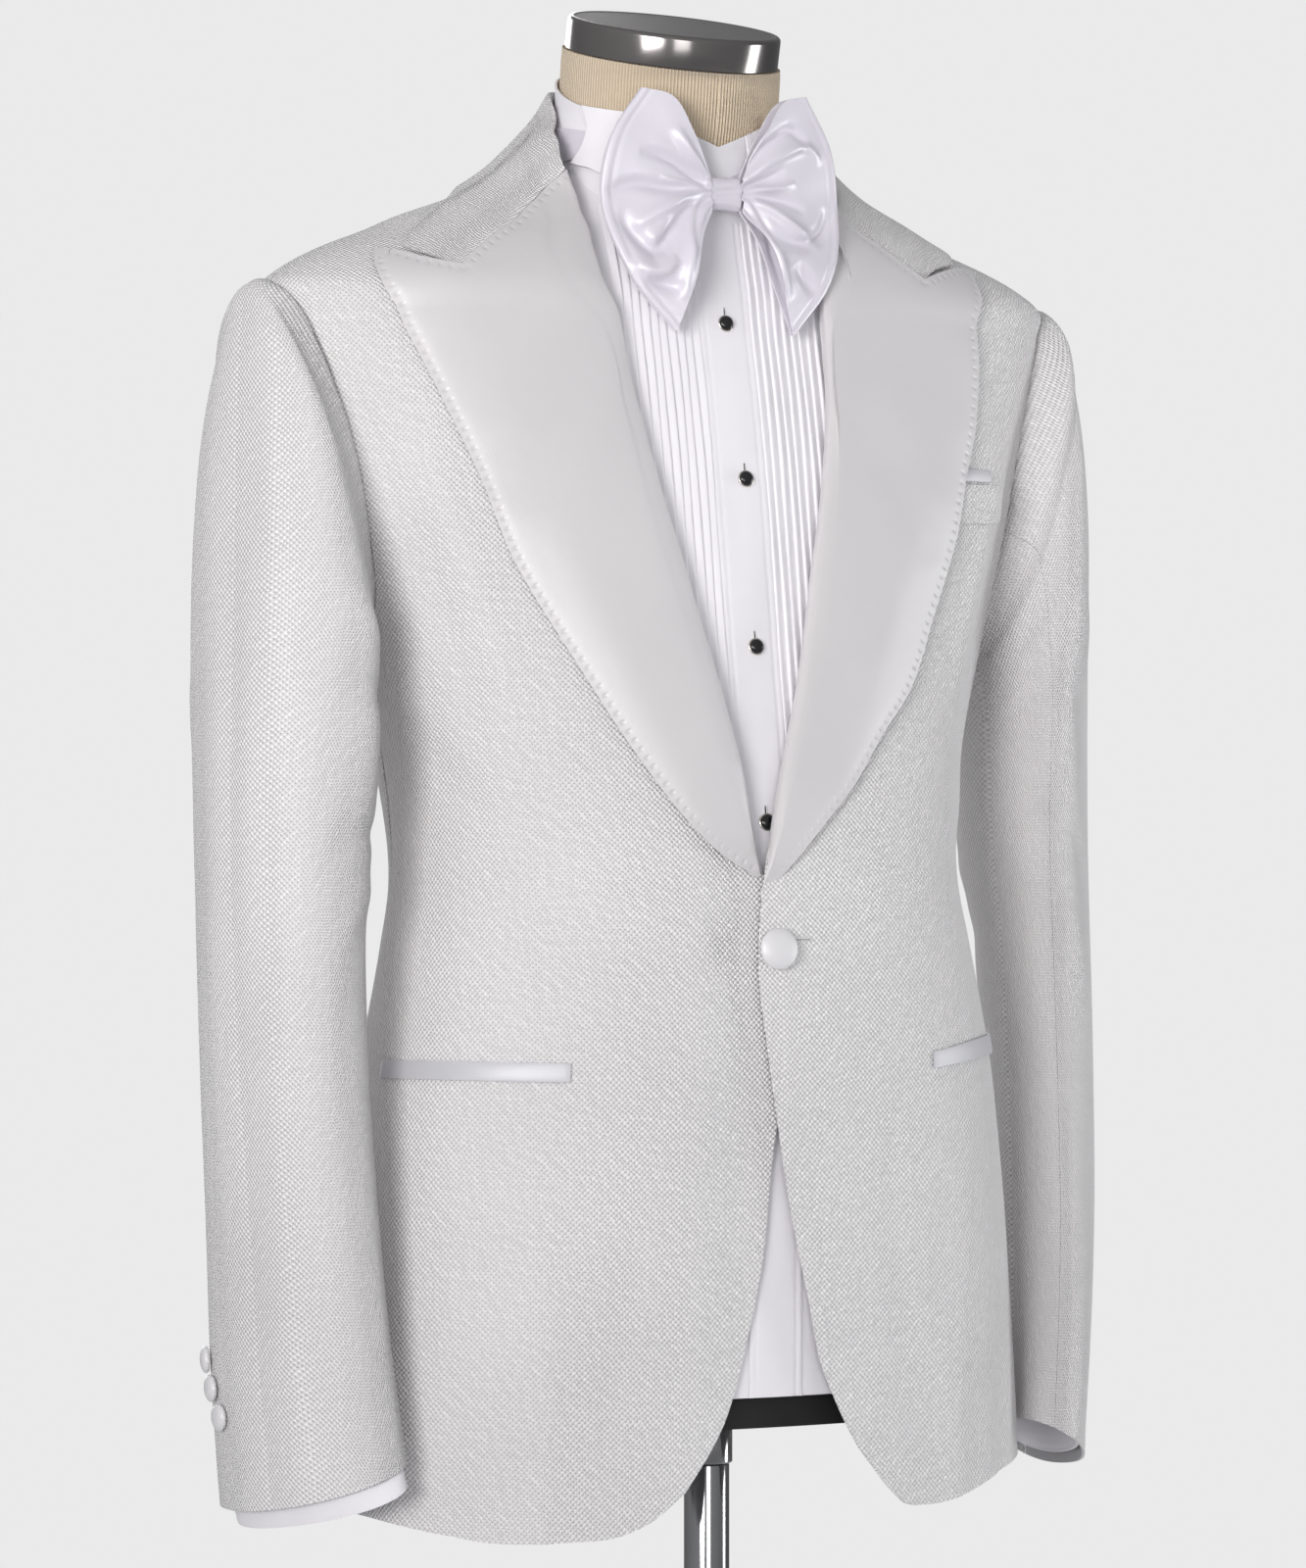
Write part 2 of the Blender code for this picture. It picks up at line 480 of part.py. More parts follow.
def add_jacket_body():
    for side in "lr":
        places = front_places(side)
        out = under_lap(places) if side == "r" else 0.0
        panel(f"jacket_front_{side}", places, "weave", CLOTH, out, side)

        front_seam = side_seam(FRONT_SIDE_SEAM, FRONT_JOIN, HEM_DROP[side])
        back_seam = side_seam(BACK_SIDE_SEAM, BACK_JOIN, HEM_DROP[side])
        underarm = np.vstack([armhole[: FRONT_JOIN + 1][::-1], armhole[BACK_JOIN:][::-1]])
        foot = run((tuple(front_seam[0]), tuple(back_seam[0])), len(underarm) - 1)
        panel(f"jacket_side_{side}", patch(front_seam, back_seam, foot, underarm), "weave", CLOTH, 0, side)

        outer = joined(back_seam, armhole[TOP : BACK_JOIN + 1][::-1])
        head = joined(back_neck, shoulder)
        levels = np.concatenate([np.linspace(BACK_HEM, 1.19, SEAM_STEPS + 1), BACK_LEVELS, back_neck[:1, 1]])
        centre = np.stack([180 + 0 * levels, levels], axis=-1)
        foot = run((tuple(centre[0]), tuple(outer[0])), len(head) - 1)
        panel(f"jacket_back_{side}", patch(centre, outer, foot, head), "weave", CLOTH, 0, side)


# ---- lapels and collar ---------------------------------------------------------------------------------
def add_lapels():
    for side in "lr":
        inner = joined(from_x(run(LAPEL_ROLL_X[side], 6)), run(ROLL[side], 9))
        outer = run(LAPEL_OUTER[side], 15)
        head = joined(run(GORGE[side], 5), run(PEAK_TOP[side], 3))
        inner[-1], outer[-1] = head[0], head[-1]
        foot = np.linspace(inner[0], outer[0], len(head))
        places = patch(inner, outer, foot, head)
        across = np.linspace(0, 1, places.shape[1])[None, :] * np.ones((places.shape[0], 1))
        lift = smooth(*np.array(LAPEL_LIFT).T, across)
        lift = 0.0007 + (lift - 0.0007) * np.clip((places[..., 1] - 1.060) / 0.035, 0, 1)
        lap = under_lap(places) if side == "r" else 0.0
        panel(f"lapel_{side}", places, "satin", SATIN, lap + lift + SATIN, side)


def collar_places(side):
    """Half the collar's leaf from the front end to the centre back, with its distance out."""
    gorge = run(GORGE[side], 5)
    start = gorge[-1] + np.array([0.5, 0.0005])
    edge = joined(run(np.vstack([start, COLLAR_FRONT[side]]), 3), run((COLLAR_FRONT[side][1], *COLLAR_EDGE), 9))
    fold = run((COLLAR_START, *COLLAR_FOLD), len(edge) - 1)
    back = run(np.vstack([fold[-1], edge[-1]]), 5)
    share = np.linspace(0, 1, len(gorge))[:, None]
    front = gorge + share * (start - gorge[-1]) + (1 - share) * (fold[0] - gorge[0])
    leaf = patch(fold, edge, front, back)
    across = np.linspace(0, 1, leaf.shape[1])[None, :]
    along = np.linspace(0, 1, leaf.shape[0])[:, None]
    out = COLLAR_FOLD_OUT + (COLLAR_EDGE_OUT - COLLAR_FOLD_OUT) * np.minimum(1, across * 4)
    return leaf, out + COLLAR_BELLY * 4 * across * (1 - across) * np.clip(along * 4, 0.15, 1)


def collar_stand(side, fold, out):
    """One face of the stand, from the seam on the jacket's own neckline to just under the fold."""
    line = joined(front_neck(side), back_neck[::-1])
    places = np.stack([fold[:, 0], np.interp(fold[:, 0], line[:, 0], line[:, 1])], axis=-1)
    seam = surface(line, out)
    foot = np.stack([np.interp(fold[:, 0], line[:, 0], seam[:, k]) for k in range(3)], axis=-1)
    foot += STAND_GAP * unit(surface(places + np.array([0, 0.002]), out) - surface(places, out))
    top = np.stack([fold[:, 0], np.maximum(fold[:, 1] - 0.0022, places[:, 1] + 0.0012)], axis=-1)
    return np.stack([foot, surface(top, out)], axis=1)


def add_collar():
    faces = {}
    for side in "lr":
        leaf, out = collar_places(side)
        fold = leaf[:, 0]
        front = np.concatenate([
            collar_stand(side, fold, STAND_OUT - CLOTH), surface(leaf[:, :1], -0.0003), surface(leaf[:, 1:], out[:, 1:])
        ], axis=1)
        front[:, 2, 2] += 0.0012
        back = np.concatenate([
            collar_stand(side, fold, STAND_OUT), surface(leaf[:, :1], -0.0001), surface(leaf[:, 1:], out[:, 1:] - CLOTH)
        ], axis=1)
        faces[side] = [sided(face, side) for face in (front, back)]
    whole = [np.concatenate([r, l[::-1][1:]]) for r, l in zip(faces["r"], faces["l"])]
    whole = [trimmed(face, SEAM * 1.4, "fh") for face in whole]
    wall("jacket_collar", *whole, "weave")


# ---- sleeves -------------------------------------------------------------------------------------------
def read_sleeve(name, at):
    table = np.array(SLEEVE)
    return smooth(np.arange(len(table)), table[:, SLEEVE_COLUMNS.index(name)], at)


def sleeve_ring(at, steps, inset=0.0):
    """One ring of the left sleeve, from the underarm towards the front. at counts the table's rows."""
    outer = np.array([read_sleeve("outer_x", at), 0, read_sleeve("outer_z", at)])
    inner = np.array([read_sleeve("inner_x", at), 0, read_sleeve("inner_z", at)])
    middle = (outer + inner) / 2 + np.array([0, float(read_sleeve("middle_y", at)), 0])
    half = (outer - inner) / 2
    half *= 1 - inset / np.linalg.norm(half)
    turn, pitch = np.radians(read_sleeve("turn", at)), np.radians(read_sleeve("pitch", at))
    ahead = np.array([-math.sin(turn), -math.cos(turn) * math.cos(pitch), math.sin(pitch)])
    depth = float(read_sleeve("half_depth", at)) - inset
    swing = np.linspace(0, 2 * math.pi, steps, endpoint=False)
    cross = power(np.cos(swing), 0.92)[:, None]
    return middle - cross * half + power(np.sin(swing), 0.92)[:, None] * ahead * depth


def sleeve_grid(rows, steps, inset, first):
    """Rings from the armhole's own points, first, down to the hem."""
    rings = [sleeve_ring(at, steps, inset) for at in np.linspace(0, len(SLEEVE) - 1, rows)]
    start = first + SEAM * 1.3 * unit(rings[0] - first)
    return np.array([start] + rings)


def unit(vectors):
    return vectors / np.linalg.norm(vectors, axis=-1, keepdims=True)


def add_sleeves():
    grid = sleeve_grid(SLEEVE_ROWS, RING, 0.0, surface(armhole))
    outward = grid_normals(grid, True)
    inside = grid - outward * CLOTH if outward[3, TOP, 0] > 0 else grid + outward * CLOTH
    top = [*range(UNDER_FRONT, UNDER_BACK + 1)]
    under = [*range(UNDER_BACK, RING), *range(UNDER_FRONT + 1)]
    for side in "lr":
        for name, columns in (("sleeve_top", top), ("sleeve_under", under)):
            outer, inner = (trimmed(g[:, columns], sides="lr") for g in (grid, inside))
            wall(f"{name}_{side}", sided(outer, side), sided(inner, side), "weave")


def cuff_grid(inset, shows):
    """Rings of a cuff: its lower edge, the ring at the sleeve's hem and its upper edge."""
    last = len(SLEEVE) - 1
    end, above = sleeve_ring(last, RING, inset), sleeve_ring(last - 1, RING, inset)
    down = unit((end - above).mean(axis=0))
    middle = end - down * 0.012
    shift = np.array(CUFF_SHIFT) if shows > 0 else 0
    return np.array([end + down * shows + shift, middle, end - down * CUFF_TALL])


def add_shirt_sleeves():
    start = surface(shirt_armhole[::2], shirt_out(shirt_armhole[::2]))
    rows = [sleeve_ring(at, RING // 2, inset) for at, inset in SHIRT_SLEEVE]
    for side in "lr":
        cuff = cuff_grid(CUFF_INSET, CUFF_SHOWS[side])
        end = cuff[-1, ::2] + 0.0012 * unit(rows[-1] - cuff[-1, ::2])
        gap = np.where(start[:, 2:] < 1.25, 0.0024, 0.0009)
        grid = np.array([start + gap * unit(rows[0] - start)] + rows + [end])
        for name, face, thick in (("shirt_sleeve", grid, SHIRTING), ("shirt_cuff", cuff, CUFF_THICK)):
            outward = grid_normals(face, True)
            sign = 1 if outward[1, face.shape[1] // 2, 0] > 0 else -1
            inside = face - sign * outward * thick
            wall(f"{name}_{side}", sided(face, side), sided(inside, side), "shirting", closed=True)


# ---- shirt ---------------------------------------------------------------------------------------------
def shirt_out(places, more=0.0):
    return more - depth("shirt", places)


BIB_INNER = PLACKET_HALF + 0.0006
SHIRT_SHARES = np.array((0, 0.25, 0.45, 0.61, 0.74, 0.85, 0.93, 1.0))     # rows up the shirt's front
BIB_OUTER = BIB_INNER + TUCKS * TUCK_PITCH


def neck_height(x):
    rows = np.array(SHIRT_NECK[:6], float)
    line = run(rows, 40)
    across = bare_surface(line[:, 0], line[:, 1])[:, 0]
    return np.interp(x, across, line[:, 1])


def add_shirt():
    for side in "lr":
        # Each tuck is a fold that rises to a sharp edge towards the placket and slopes away from it.
        x = [BIB_INNER + TUCK_PITCH * (k + s) for k in range(TUCKS) for s in (0, 0.12, 0.62)] + [BIB_OUTER]
        rise = np.array([0, 1, 0.45] * TUCKS + [0]) * TUCK_RISE
        x = np.array(x)
        height = SHIRT_FOOT + SHIRT_SHARES[:, None] * (neck_height(x) - SHIRT_FOOT)[None, :]
        across = x[None, :] + 0 * height
        places = np.stack([angle_at(across, height), height], axis=-1)
        fade = np.clip((height - 0.93) / 0.12, 0, 1)
        outer = trimmed(surface(places, shirt_out(places) + rise[None, :] * fade))
        inner = trimmed(surface(places, shirt_out(places, -SHIRTING)))
        wall(f"shirt_bib_{side}", sided(outer, side), sided(inner, side), "shirting")

        edge = SHIRT_FOOT + SHIRT_SHARES * (neck_height(BIB_OUTER) - SHIRT_FOOT)
        edge_places = from_x(np.stack([BIB_OUTER + 0 * edge, edge], axis=-1))
        neck = run(np.vstack([edge_places[-1], SHIRT_NECK[3:6]]), 3)
        seam = run(((90, SHIRT_FOOT), (90, 1.0), tuple(shirt_armhole[0])), 5)
        outer_edge = joined(seam, shirt_armhole[0 : TOP + 1 : 2])
        left = joined(edge_places, neck)
        foot = run(np.vstack([left[0], (60, SHIRT_FOOT), seam[0]]), SHOULDER_STEPS)
        places = patch(left, outer_edge, foot, shirt_shoulder)
        panel(f"shirt_front_{side}", places, "shirting", SHIRTING, shirt_out(places), side)

    levels = np.array((SHIRT_FOOT, 0.92, 1.05, 1.16, 1.25, 1.32, 1.37, 1.41, 1.435, 1.453, SHIRT_NECK[-1][1]))
    centre = np.stack([180 + 0 * levels, levels], axis=-1)
    neck = run(SHIRT_NECK[:4:-1], 3)
    back_half = np.vstack([shirt_armhole[TOP:][::2], shirt_armhole[:1]])[::-1]
    outer_edge = joined(run(((90, SHIRT_FOOT), (90, 1.0), tuple(shirt_armhole[0])), 5), back_half)
    head = joined(neck, shirt_shoulder)
    foot = run((tuple(centre[0]), (135, SHIRT_FOOT), tuple(outer_edge[0])), len(head) - 1)
    places = patch(centre, outer_edge, foot, head)
    half = [surface(places, shirt_out(places, o)) for o in (0, -SHIRTING)]
    whole = [trimmed(np.concatenate([sided(g, "r")[:, ::-1], g[:, 1:]], axis=1)) for g in half]
    wall("shirt_back", whole[0], whole[1], "shirting")

    height = np.linspace(SHIRT_FOOT, 1.4275, 13)[:, None] * np.ones((1, 5))
    across = np.linspace(-PLACKET_HALF, PLACKET_HALF, 5)[None, :] * np.ones((13, 1))
    places = np.stack([angle_at(across, height), height], axis=-1)
    panel("shirt_placket", places, "shirting", 0.0020, shirt_out(places, 0.0008))

    for k, place in enumerate(from_x(STUDS), 1):
        seat = surface(place, float(shirt_out(place)) + 0.0008 + LAID)
        facing = surface(place, 1.0) - surface(place, 0.0)
        profile = ((0, 0.0026), (0.0028, 0.0024), (0.0041, 0.0016), (STUD_RADIUS, 0.0009),
                   (STUD_RADIUS, 0), (0, 0))
        turned(f"stud_{k}", profile, "onyx", 12, seat, facing)


COLLAR_LIFT = 0.0013                        # the shirt collar's foot stands over the shirt's neck edge
COLLAR_TOP = ((0, 1.4700), (42, 1.4870), (60, 1.4905), (77, 1.4945), (90, 1.4995), (105, 1.5060), (130, 1.5155),
              (180, 1.5185))


def on_collar(angle, height, out=0.0):
    """Points on the shirt's collar, from angles, heights and a distance out."""
    angle, height, out = np.broadcast_arrays(np.asarray(angle, float), height, out)

    def face(turn, level):
        foot = np.stack([turn, smooth(*np.array(SHIRT_NECK).T, np.abs(turn))], axis=-1)
        low = surface(foot, shirt_out(foot)) + np.array([0, 0, COLLAR_LIFT])
        high = smooth(*np.array(COLLAR_TOP).T, np.abs(turn))
        up = (level - low[..., 2]) / (high - low[..., 2])
        swing = np.radians(turn)
        middle = NECK_Y + NECK_LEAN * (level - 1.5)
        round_neck = np.stack([COLLAR_RADIUS * np.sin(swing), middle - COLLAR_RADIUS * np.cos(swing), level], axis=-1)
        flare = ((1 - up) ** 2)[..., None]
        made = low * flare + round_neck * (1 - flare)
        made[..., 2] = level
        return made

    normal = np.cross(face(angle + 1, height) - face(angle - 1, height),
                      face(angle, height + 0.001) - face(angle, height - 0.001))
    return face(angle, height) + unit(normal) * out[..., None]


def collar_grid(around, rows, low=0.0, high=1.0):
    """Heights from the collar's foot to its top at each angle."""
    foot = np.stack([around, smooth(*np.array(SHIRT_NECK).T, np.abs(around))], axis=-1)
    start = surface(foot, shirt_out(foot))[..., 2] + COLLAR_LIFT
    end = smooth(*np.array(COLLAR_TOP).T, np.abs(around))
    return start + (end - start) * np.linspace(low, high, rows)[:, None]


def add_collars_of_shirt():
    around = np.arange(-180, 180, 15.0)[None, :]
    height = collar_grid(around[0], 5)
    around = around + 0 * height
    wall("shirt_collar", on_collar(around, height), on_collar(around, height, -SHIRTING), "shirting", closed=True)
    for side in "lr":
        # The wing folded down at the collar's front, over the bow tie's band.
        angle = WING_ANGLES[None, :] + np.array([0, 0, 2, 10])[:, None] * np.linspace(0, 1, 5) ** 2
        low = np.interp(angle, *np.array(WING_FOOT_HEIGHTS).T)
        high = smooth(*np.array(COLLAR_TOP).T, angle) + 0.0008
        height = low + (high - low) * np.linspace(0, 1, 4)[:, None]
        out = np.array([0.0036, 0.0040, 0.0034, 0.0008])[:, None] + SHIRTING + 0 * height
        outer, inner = (trimmed(on_collar(angle, height, o)) for o in (out, out - SHIRTING))
        wall(f"shirt_wing_{side}", sided(outer, side), sided(inner, side), "shirting")


WING_ANGLES = np.linspace(15, 64, 5)
WING_FOOT_HEIGHTS = ((10, 1.4440), (30, 1.4470), (50, 1.4570), (64, 1.4600), (80, 1.4620))


# ---- bow tie -------------------------------------------------------------------------------------------
BAND_LOW = ((0, 1.4350), (30, 1.4425), (45, 1.4550), (62, 1.4625), (95, 1.4615), (130, 1.4690), (180, 1.4705))
BAND_HIGH = ((0, 1.4520), (30, 1.4640), (45, 1.4710), (62, 1.4775), (95, 1.4840), (130, 1.4870), (180, 1.4880))


def add_bow():
    # The band runs from one side of the knot round the collar to its other side.
    around = np.concatenate([[7.3], np.arange(15, 350, 15), [352.7]])
    around = np.where(around > 180, around - 360, around)[None, :]
    low, high = (smooth(*np.array(rows).T, np.abs(around)) for rows in (BAND_LOW, BAND_HIGH))
    height = low + (high - low) * np.linspace(0, 1, 3)[:, None]
    around = around + 0 * height
    outer, inner = (trimmed(on_collar(around, height, 2 * LAID + o)) for o in (0.0010, 0))
    wall("bow_band", outer, inner, "bow_satin")

    steps_out, steps_down = 6, 7
    top, foot, edge = run(WING_TOP, steps_out), run(WING_FOOT, steps_out), run(WING_OUTER, steps_down)
    knot = run((WING_TOP[0], (WING_TOP[0][0], KNOT_HEIGHT), WING_FOOT[0]), steps_down)
    flat = patch(top, foot, knot, edge)              # rows go out from the knot, columns go down
    share = np.linspace(0, 1, steps_out + 1)[:, None]
    spread = smooth(*np.array(WING_SPREAD).T, share) * np.ones((1, steps_down + 1))
    middle = np.interp(flat[..., 1], *np.array(WING_MIDDLE).T) + WING_SWEEP * share**2
    front = np.stack([flat[..., 0], middle - spread, flat[..., 1]], axis=-1)
    back = np.stack([flat[..., 0], middle + spread, flat[..., 1]], axis=-1)
    tip = np.stack([flat[-1, :, 0] + 0.0012, middle[-1], flat[-1, :, 1]], axis=-1)
    loop = np.concatenate([front, tip[None], back[::-1]])
    normal = grid_normals(loop, False)
    sign = 1 if normal[2, 4, 1] < 0 else -1
    inside = loop - sign * normal * SATIN
    for side in "lr":
        wall(f"bow_wing_{side}", sided(loop, side), sided(inside, side), "bow_satin")

    swing = np.linspace(0, 2 * math.pi, 12, endpoint=False)
    rows = []
    for share in np.linspace(-1, 1, 5):
        swell = 1 - 0.10 * (1 - share**2)
        rows.append(np.stack([
            np.full(12, share * KNOT_HALF[0]),
            KNOT_DEPTH - KNOT_HALF[1] * swell * power(np.cos(swing), 0.8),
            KNOT_HEIGHT + KNOT_HALF[2] * swell * power(np.sin(swing), 0.8)], axis=-1))
    rows = np.array(rows)
    core = rows.copy()
    core[..., 1] = KNOT_DEPTH + (rows[..., 1] - KNOT_DEPTH) * (1 - SATIN / KNOT_HALF[1])
    core[..., 2] = KNOT_HEIGHT + (rows[..., 2] - KNOT_HEIGHT) * (1 - SATIN / KNOT_HALF[2])
    wall("bow_knot", rows, core, "bow_satin", closed=True)


# ---- pockets and buttons -------------------------------------------------------------------------------
def strip(name, foot, head, steps, finish, out, thick, side):
    """A narrow strip on a panel between two runs of places."""
    low, high = run(foot, steps), run(head, steps)
    share = np.linspace(0, 1, 3)[:, None, None]
    panel(name, low[None] * (1 - share) + high[None] * share, finish, thick, out, side)


def add_pockets():
    for side in "lr":
        strip(f"hip_welt_{side}", *HIP_WELT[side], 9, "satin", LAID + SATIN, SATIN, side)
    strip("breast_welt", *BREAST_WELT, 6, "weave", 0.0019, 0.0011, "l")
    strip("breast_satin", *BREAST_SATIN, 3, "satin", 0.0016, 0.0009, "l")


def button_profile(radius, thick):
    return ((0, thick), (radius * 0.45, thick * 0.94), (radius * 0.80, thick * 0.74), (radius, thick * 0.36),
            (radius * 0.86, 0), (0, 0))


def add_buttons():
    place = np.array([-0.66, FRONT_BUTTON_HEIGHT])
    facing = surface(place, 1.0) - surface(place, 0.0)
    turned("front_button", button_profile(FRONT_BUTTON_RADIUS, 0.0062), "satin", 16,
           surface(place, LAID), facing)
    for side in "lr":
        for k in range(3):
            at = len(SLEEVE) - 1 - (0.044 + 0.0138 * k) / 0.066
            ring = sleeve_ring(at, 200)
            here = 120 + 5 * k
            lower = sleeve_ring(at + 0.05, 200)[here]
            facing = np.cross(ring[here + 4] - ring[here - 4], ring[here] - lower)
            facing = unit(facing * np.sign(facing @ (ring[here] - ring.mean(axis=0))))
            seat = ring[here] + facing * SLEEVE_BUTTON_STAND
            turned(f"sleeve_button_{side}{k + 1}", button_profile(SLEEVE_BUTTON_RADIUS, 0.0046), "satin", 12,
                   sided(seat, side), sided(facing, side))


# ---- dress form and stand ------------------------------------------------------------------------------
def solid_rings(name, rings, finish):
    """A closed loft through rings of points, capped flat at both ends."""
    count, around = rings.shape[:2]
    faces = [
        (r * around + c, r * around + (c + 1) % around, (r + 1) * around + (c + 1) % around, (r + 1) * around + c)
        for r in range(count - 1) for c in range(around)
    ]
    faces += [tuple(reversed(range(around))), tuple((count - 1) * around + c for c in range(around))]
    mesh = bpy.data.meshes.new(name)
    mesh.from_pydata(rings.reshape(-1, 3).tolist(), [], faces)
    return add_object(name, mesh, finish)


FORM_ANGLES = (0, 15, 30, 45, 60, 76, 92, 108, 123, 138, 153, 167, 180)


def form_ring(around, height):
    places = np.column_stack([around, np.full(len(around), height)])
    places[:, 0] = np.where(places[:, 0] > 180, places[:, 0] - 360, places[:, 0])
    return surface(places, -depth("form", places))


def add_form():
    around = np.array(FORM_ANGLES + tuple(360 - a for a in FORM_ANGLES[-2:0:-1]))
    heights = (BAND_TOP + LAID, 0.87, 0.97, 1.066, 1.13, 1.20, 1.28, 1.34, 1.372, 1.390, 1.405, 1.420)
    rings = [form_ring(around, height) for height in heights]
    rings[0][:, 2] = heights[0]
    swing = np.radians(around)
    for height, half_width, front, back in FORM_NECK:
        middle, half_depth = (front + back) / 2, (back - front) / 2
        rings.append(np.stack([half_width * np.sin(swing), middle - half_depth * np.cos(swing), height + 0 * swing], axis=-1))
    tilt_y, tilt_z = math.cos(NECK_TILT), math.sin(NECK_TILT)
    centre = np.array([0, NECK_Y + NECK_LEAN * (CAP_HEIGHT - 1.5), CAP_HEIGHT])
    end = centre + np.stack([NECK_RADIUS * np.sin(swing), -NECK_RADIUS * np.cos(swing) * tilt_y,
                             -NECK_RADIUS * np.cos(swing) * tilt_z], axis=-1)
    solid_rings("form_torso", np.array(rings + [end]), "jersey")

    band = [form_ring(around, height) for height in (FORM_FOOT, BAND_TOP)]
    for ring, height in zip(band, (FORM_FOOT, BAND_TOP)):
        ring[:, 2] = height
    solid_rings("form_band", np.array(band), "black_band")

    up = np.array([0, -tilt_z, tilt_y])
    profile = ((0, CAP_THICK), (CAP_RADIUS - 0.004, CAP_THICK), (CAP_RADIUS - 0.001, CAP_THICK - 0.0012),
               (CAP_RADIUS, CAP_THICK - 0.004), (CAP_RADIUS + 0.0004, 0), (0, 0))
    turned("neck_cap", profile, "dark_chrome", 32, centre + up * 0.0004, up)


def add_stand():
    profile = ((0, BASE_THICK), (BASE_RADIUS - 0.003, BASE_THICK), (BASE_RADIUS, BASE_THICK - 0.003),
               (BASE_RADIUS, 0), (0, 0))
    turned("base_plate", profile, "steel", 40)
    tube_top = FORM_FOOT - LAID
    turned("pole", ((0, TUBE_FOOT - LAID), (POLE_RADIUS, TUBE_FOOT - LAID), (POLE_RADIUS, BASE_THICK + LAID),
                    (0, BASE_THICK + LAID)), "steel", 24)
    turned("pole_tube", ((0, tube_top), (TUBE_RADIUS, tube_top), (TUBE_RADIUS, TUBE_FOOT), (0, TUBE_FOOT)),
           "steel", 24)


# ---- the whole object ----------------------------------------------------------------------------------
for old in list(bpy.data.objects):
    bpy.data.objects.remove(old)
parts = bpy.data.collections.new("tuxedo_on_form")
bpy.context.scene.collection.children.link(parts)

add_stand()
add_form()
add_shirt()
add_collars_of_shirt()
add_shirt_sleeves()
add_bow()
add_jacket_body()
add_lapels()
add_collar()
add_sleeves()
add_pockets()
add_buttons()
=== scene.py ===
# %% [markdown]
# # A white tuxedo on a dress form
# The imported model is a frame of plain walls, one for each piece that a tailor would cut. This lesson dresses that
# frame: every panel gets its cloth, its soft creases and its sewing, and the stand gets its metal.
# Everything is in metres with +Z up, the garment's front faces -Y, and the wearer's left is at +X.

# %% Load the frame
import math

import bpy
import numpy as np
from mathutils import Matrix, Vector


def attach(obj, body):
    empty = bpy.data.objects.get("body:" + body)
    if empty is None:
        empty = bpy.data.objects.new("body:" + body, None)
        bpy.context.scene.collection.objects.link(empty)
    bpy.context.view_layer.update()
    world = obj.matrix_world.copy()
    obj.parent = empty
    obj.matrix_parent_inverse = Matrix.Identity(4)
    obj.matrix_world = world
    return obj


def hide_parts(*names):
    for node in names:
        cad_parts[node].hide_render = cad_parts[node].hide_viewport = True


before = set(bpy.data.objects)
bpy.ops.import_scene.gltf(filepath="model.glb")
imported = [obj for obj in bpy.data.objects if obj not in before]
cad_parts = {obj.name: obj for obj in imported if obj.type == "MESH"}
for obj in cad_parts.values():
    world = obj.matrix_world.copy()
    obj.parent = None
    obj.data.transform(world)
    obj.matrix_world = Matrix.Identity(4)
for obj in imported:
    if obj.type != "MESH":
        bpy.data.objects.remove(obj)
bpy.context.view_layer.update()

# %% [markdown]
# ## Camera
# A long lens from chest height keeps the upright lines of the jacket parallel, as a catalogue picture does. The
# camera is level, so nothing leans. The focal length comes from how many picture widths the lens is away.

# %% Camera
PICTURE = (1333, 1600)
FOCAL_PIXELS, SENSOR = 6105, 36.0
eye = bpy.data.objects.new("camera", bpy.data.cameras.new("camera"))
bpy.context.scene.collection.objects.link(eye)
eye.data.sensor_fit, eye.data.sensor_width = "HORIZONTAL", SENSOR
eye.data.lens = SENSOR * FOCAL_PIXELS / PICTURE[0]
eye.location = (-1.5245, -2.9269, 1.12)
eye.rotation_euler = (math.radians(90), 0, math.radians(-27))
bpy.context.scene.camera = eye
print("lens:", round(eye.data.lens, 1), "mm")

# %% [markdown]
# ## Floor and light
# White cloth shows its form only by soft shade, so the light is a large soft source beside the camera on the
# left, a weak one far on the right that leaves that side a little darker, and a pale sky that fills the rest.
# The sky is brighter to the camera than to the cloth, which keeps the backdrop clean and the folds readable.

# %% Floor, sky and lamps
BACKDROP = (0.823, 0.823, 0.823)
SKY_STRENGTH = 0.33


def node(tree, kind, inputs=None, **settings):
    made = tree.nodes.new("ShaderNode" + kind)
    for key, value in settings.items():
        setattr(made, key, value)
    for key, value in (inputs or {}).items():
        if isinstance(value, bpy.types.NodeSocket):
            tree.links.new(value, made.inputs[key])
        else:
            made.inputs[key].default_value = value
    return made


def lamp(name, place, target, size, power, colour=(1, 1, 1)):
    made = bpy.data.objects.new(name, bpy.data.lights.new(name, "AREA"))
    bpy.context.scene.collection.objects.link(made)
    made.data.shape = "RECTANGLE"
    made.data.size, made.data.size_y = size
    made.data.energy, made.data.color = power, colour
    made.location = place
    made.rotation_mode = "QUATERNION"
    made.rotation_quaternion = (Vector(target) - Vector(place)).to_track_quat("-Z", "Y")
    return made


key = lamp("key", (-2.7, -2.3, 1.50), (0, 0, 1.46), (1.4, 1.5), 8.0, (1.0, 0.985, 0.985))
key.data.spread = math.radians(50)
front_fill = lamp("front_fill", (-1.1, -3.5, 1.15), (0, 0, 1.2), (1.1, 1.4), 2.5)
front_fill.data.spread = math.radians(60)
lamp("far_side", (3.3, -1.0, 0.9), (0, 0, 0.95), (0.8, 1.8), 42, (0.97, 0.98, 1.0))
lamp("back_fill", (0.6, 3.8, 1.9), (0, 0, 1.1), (2.4, 2.2), 62)

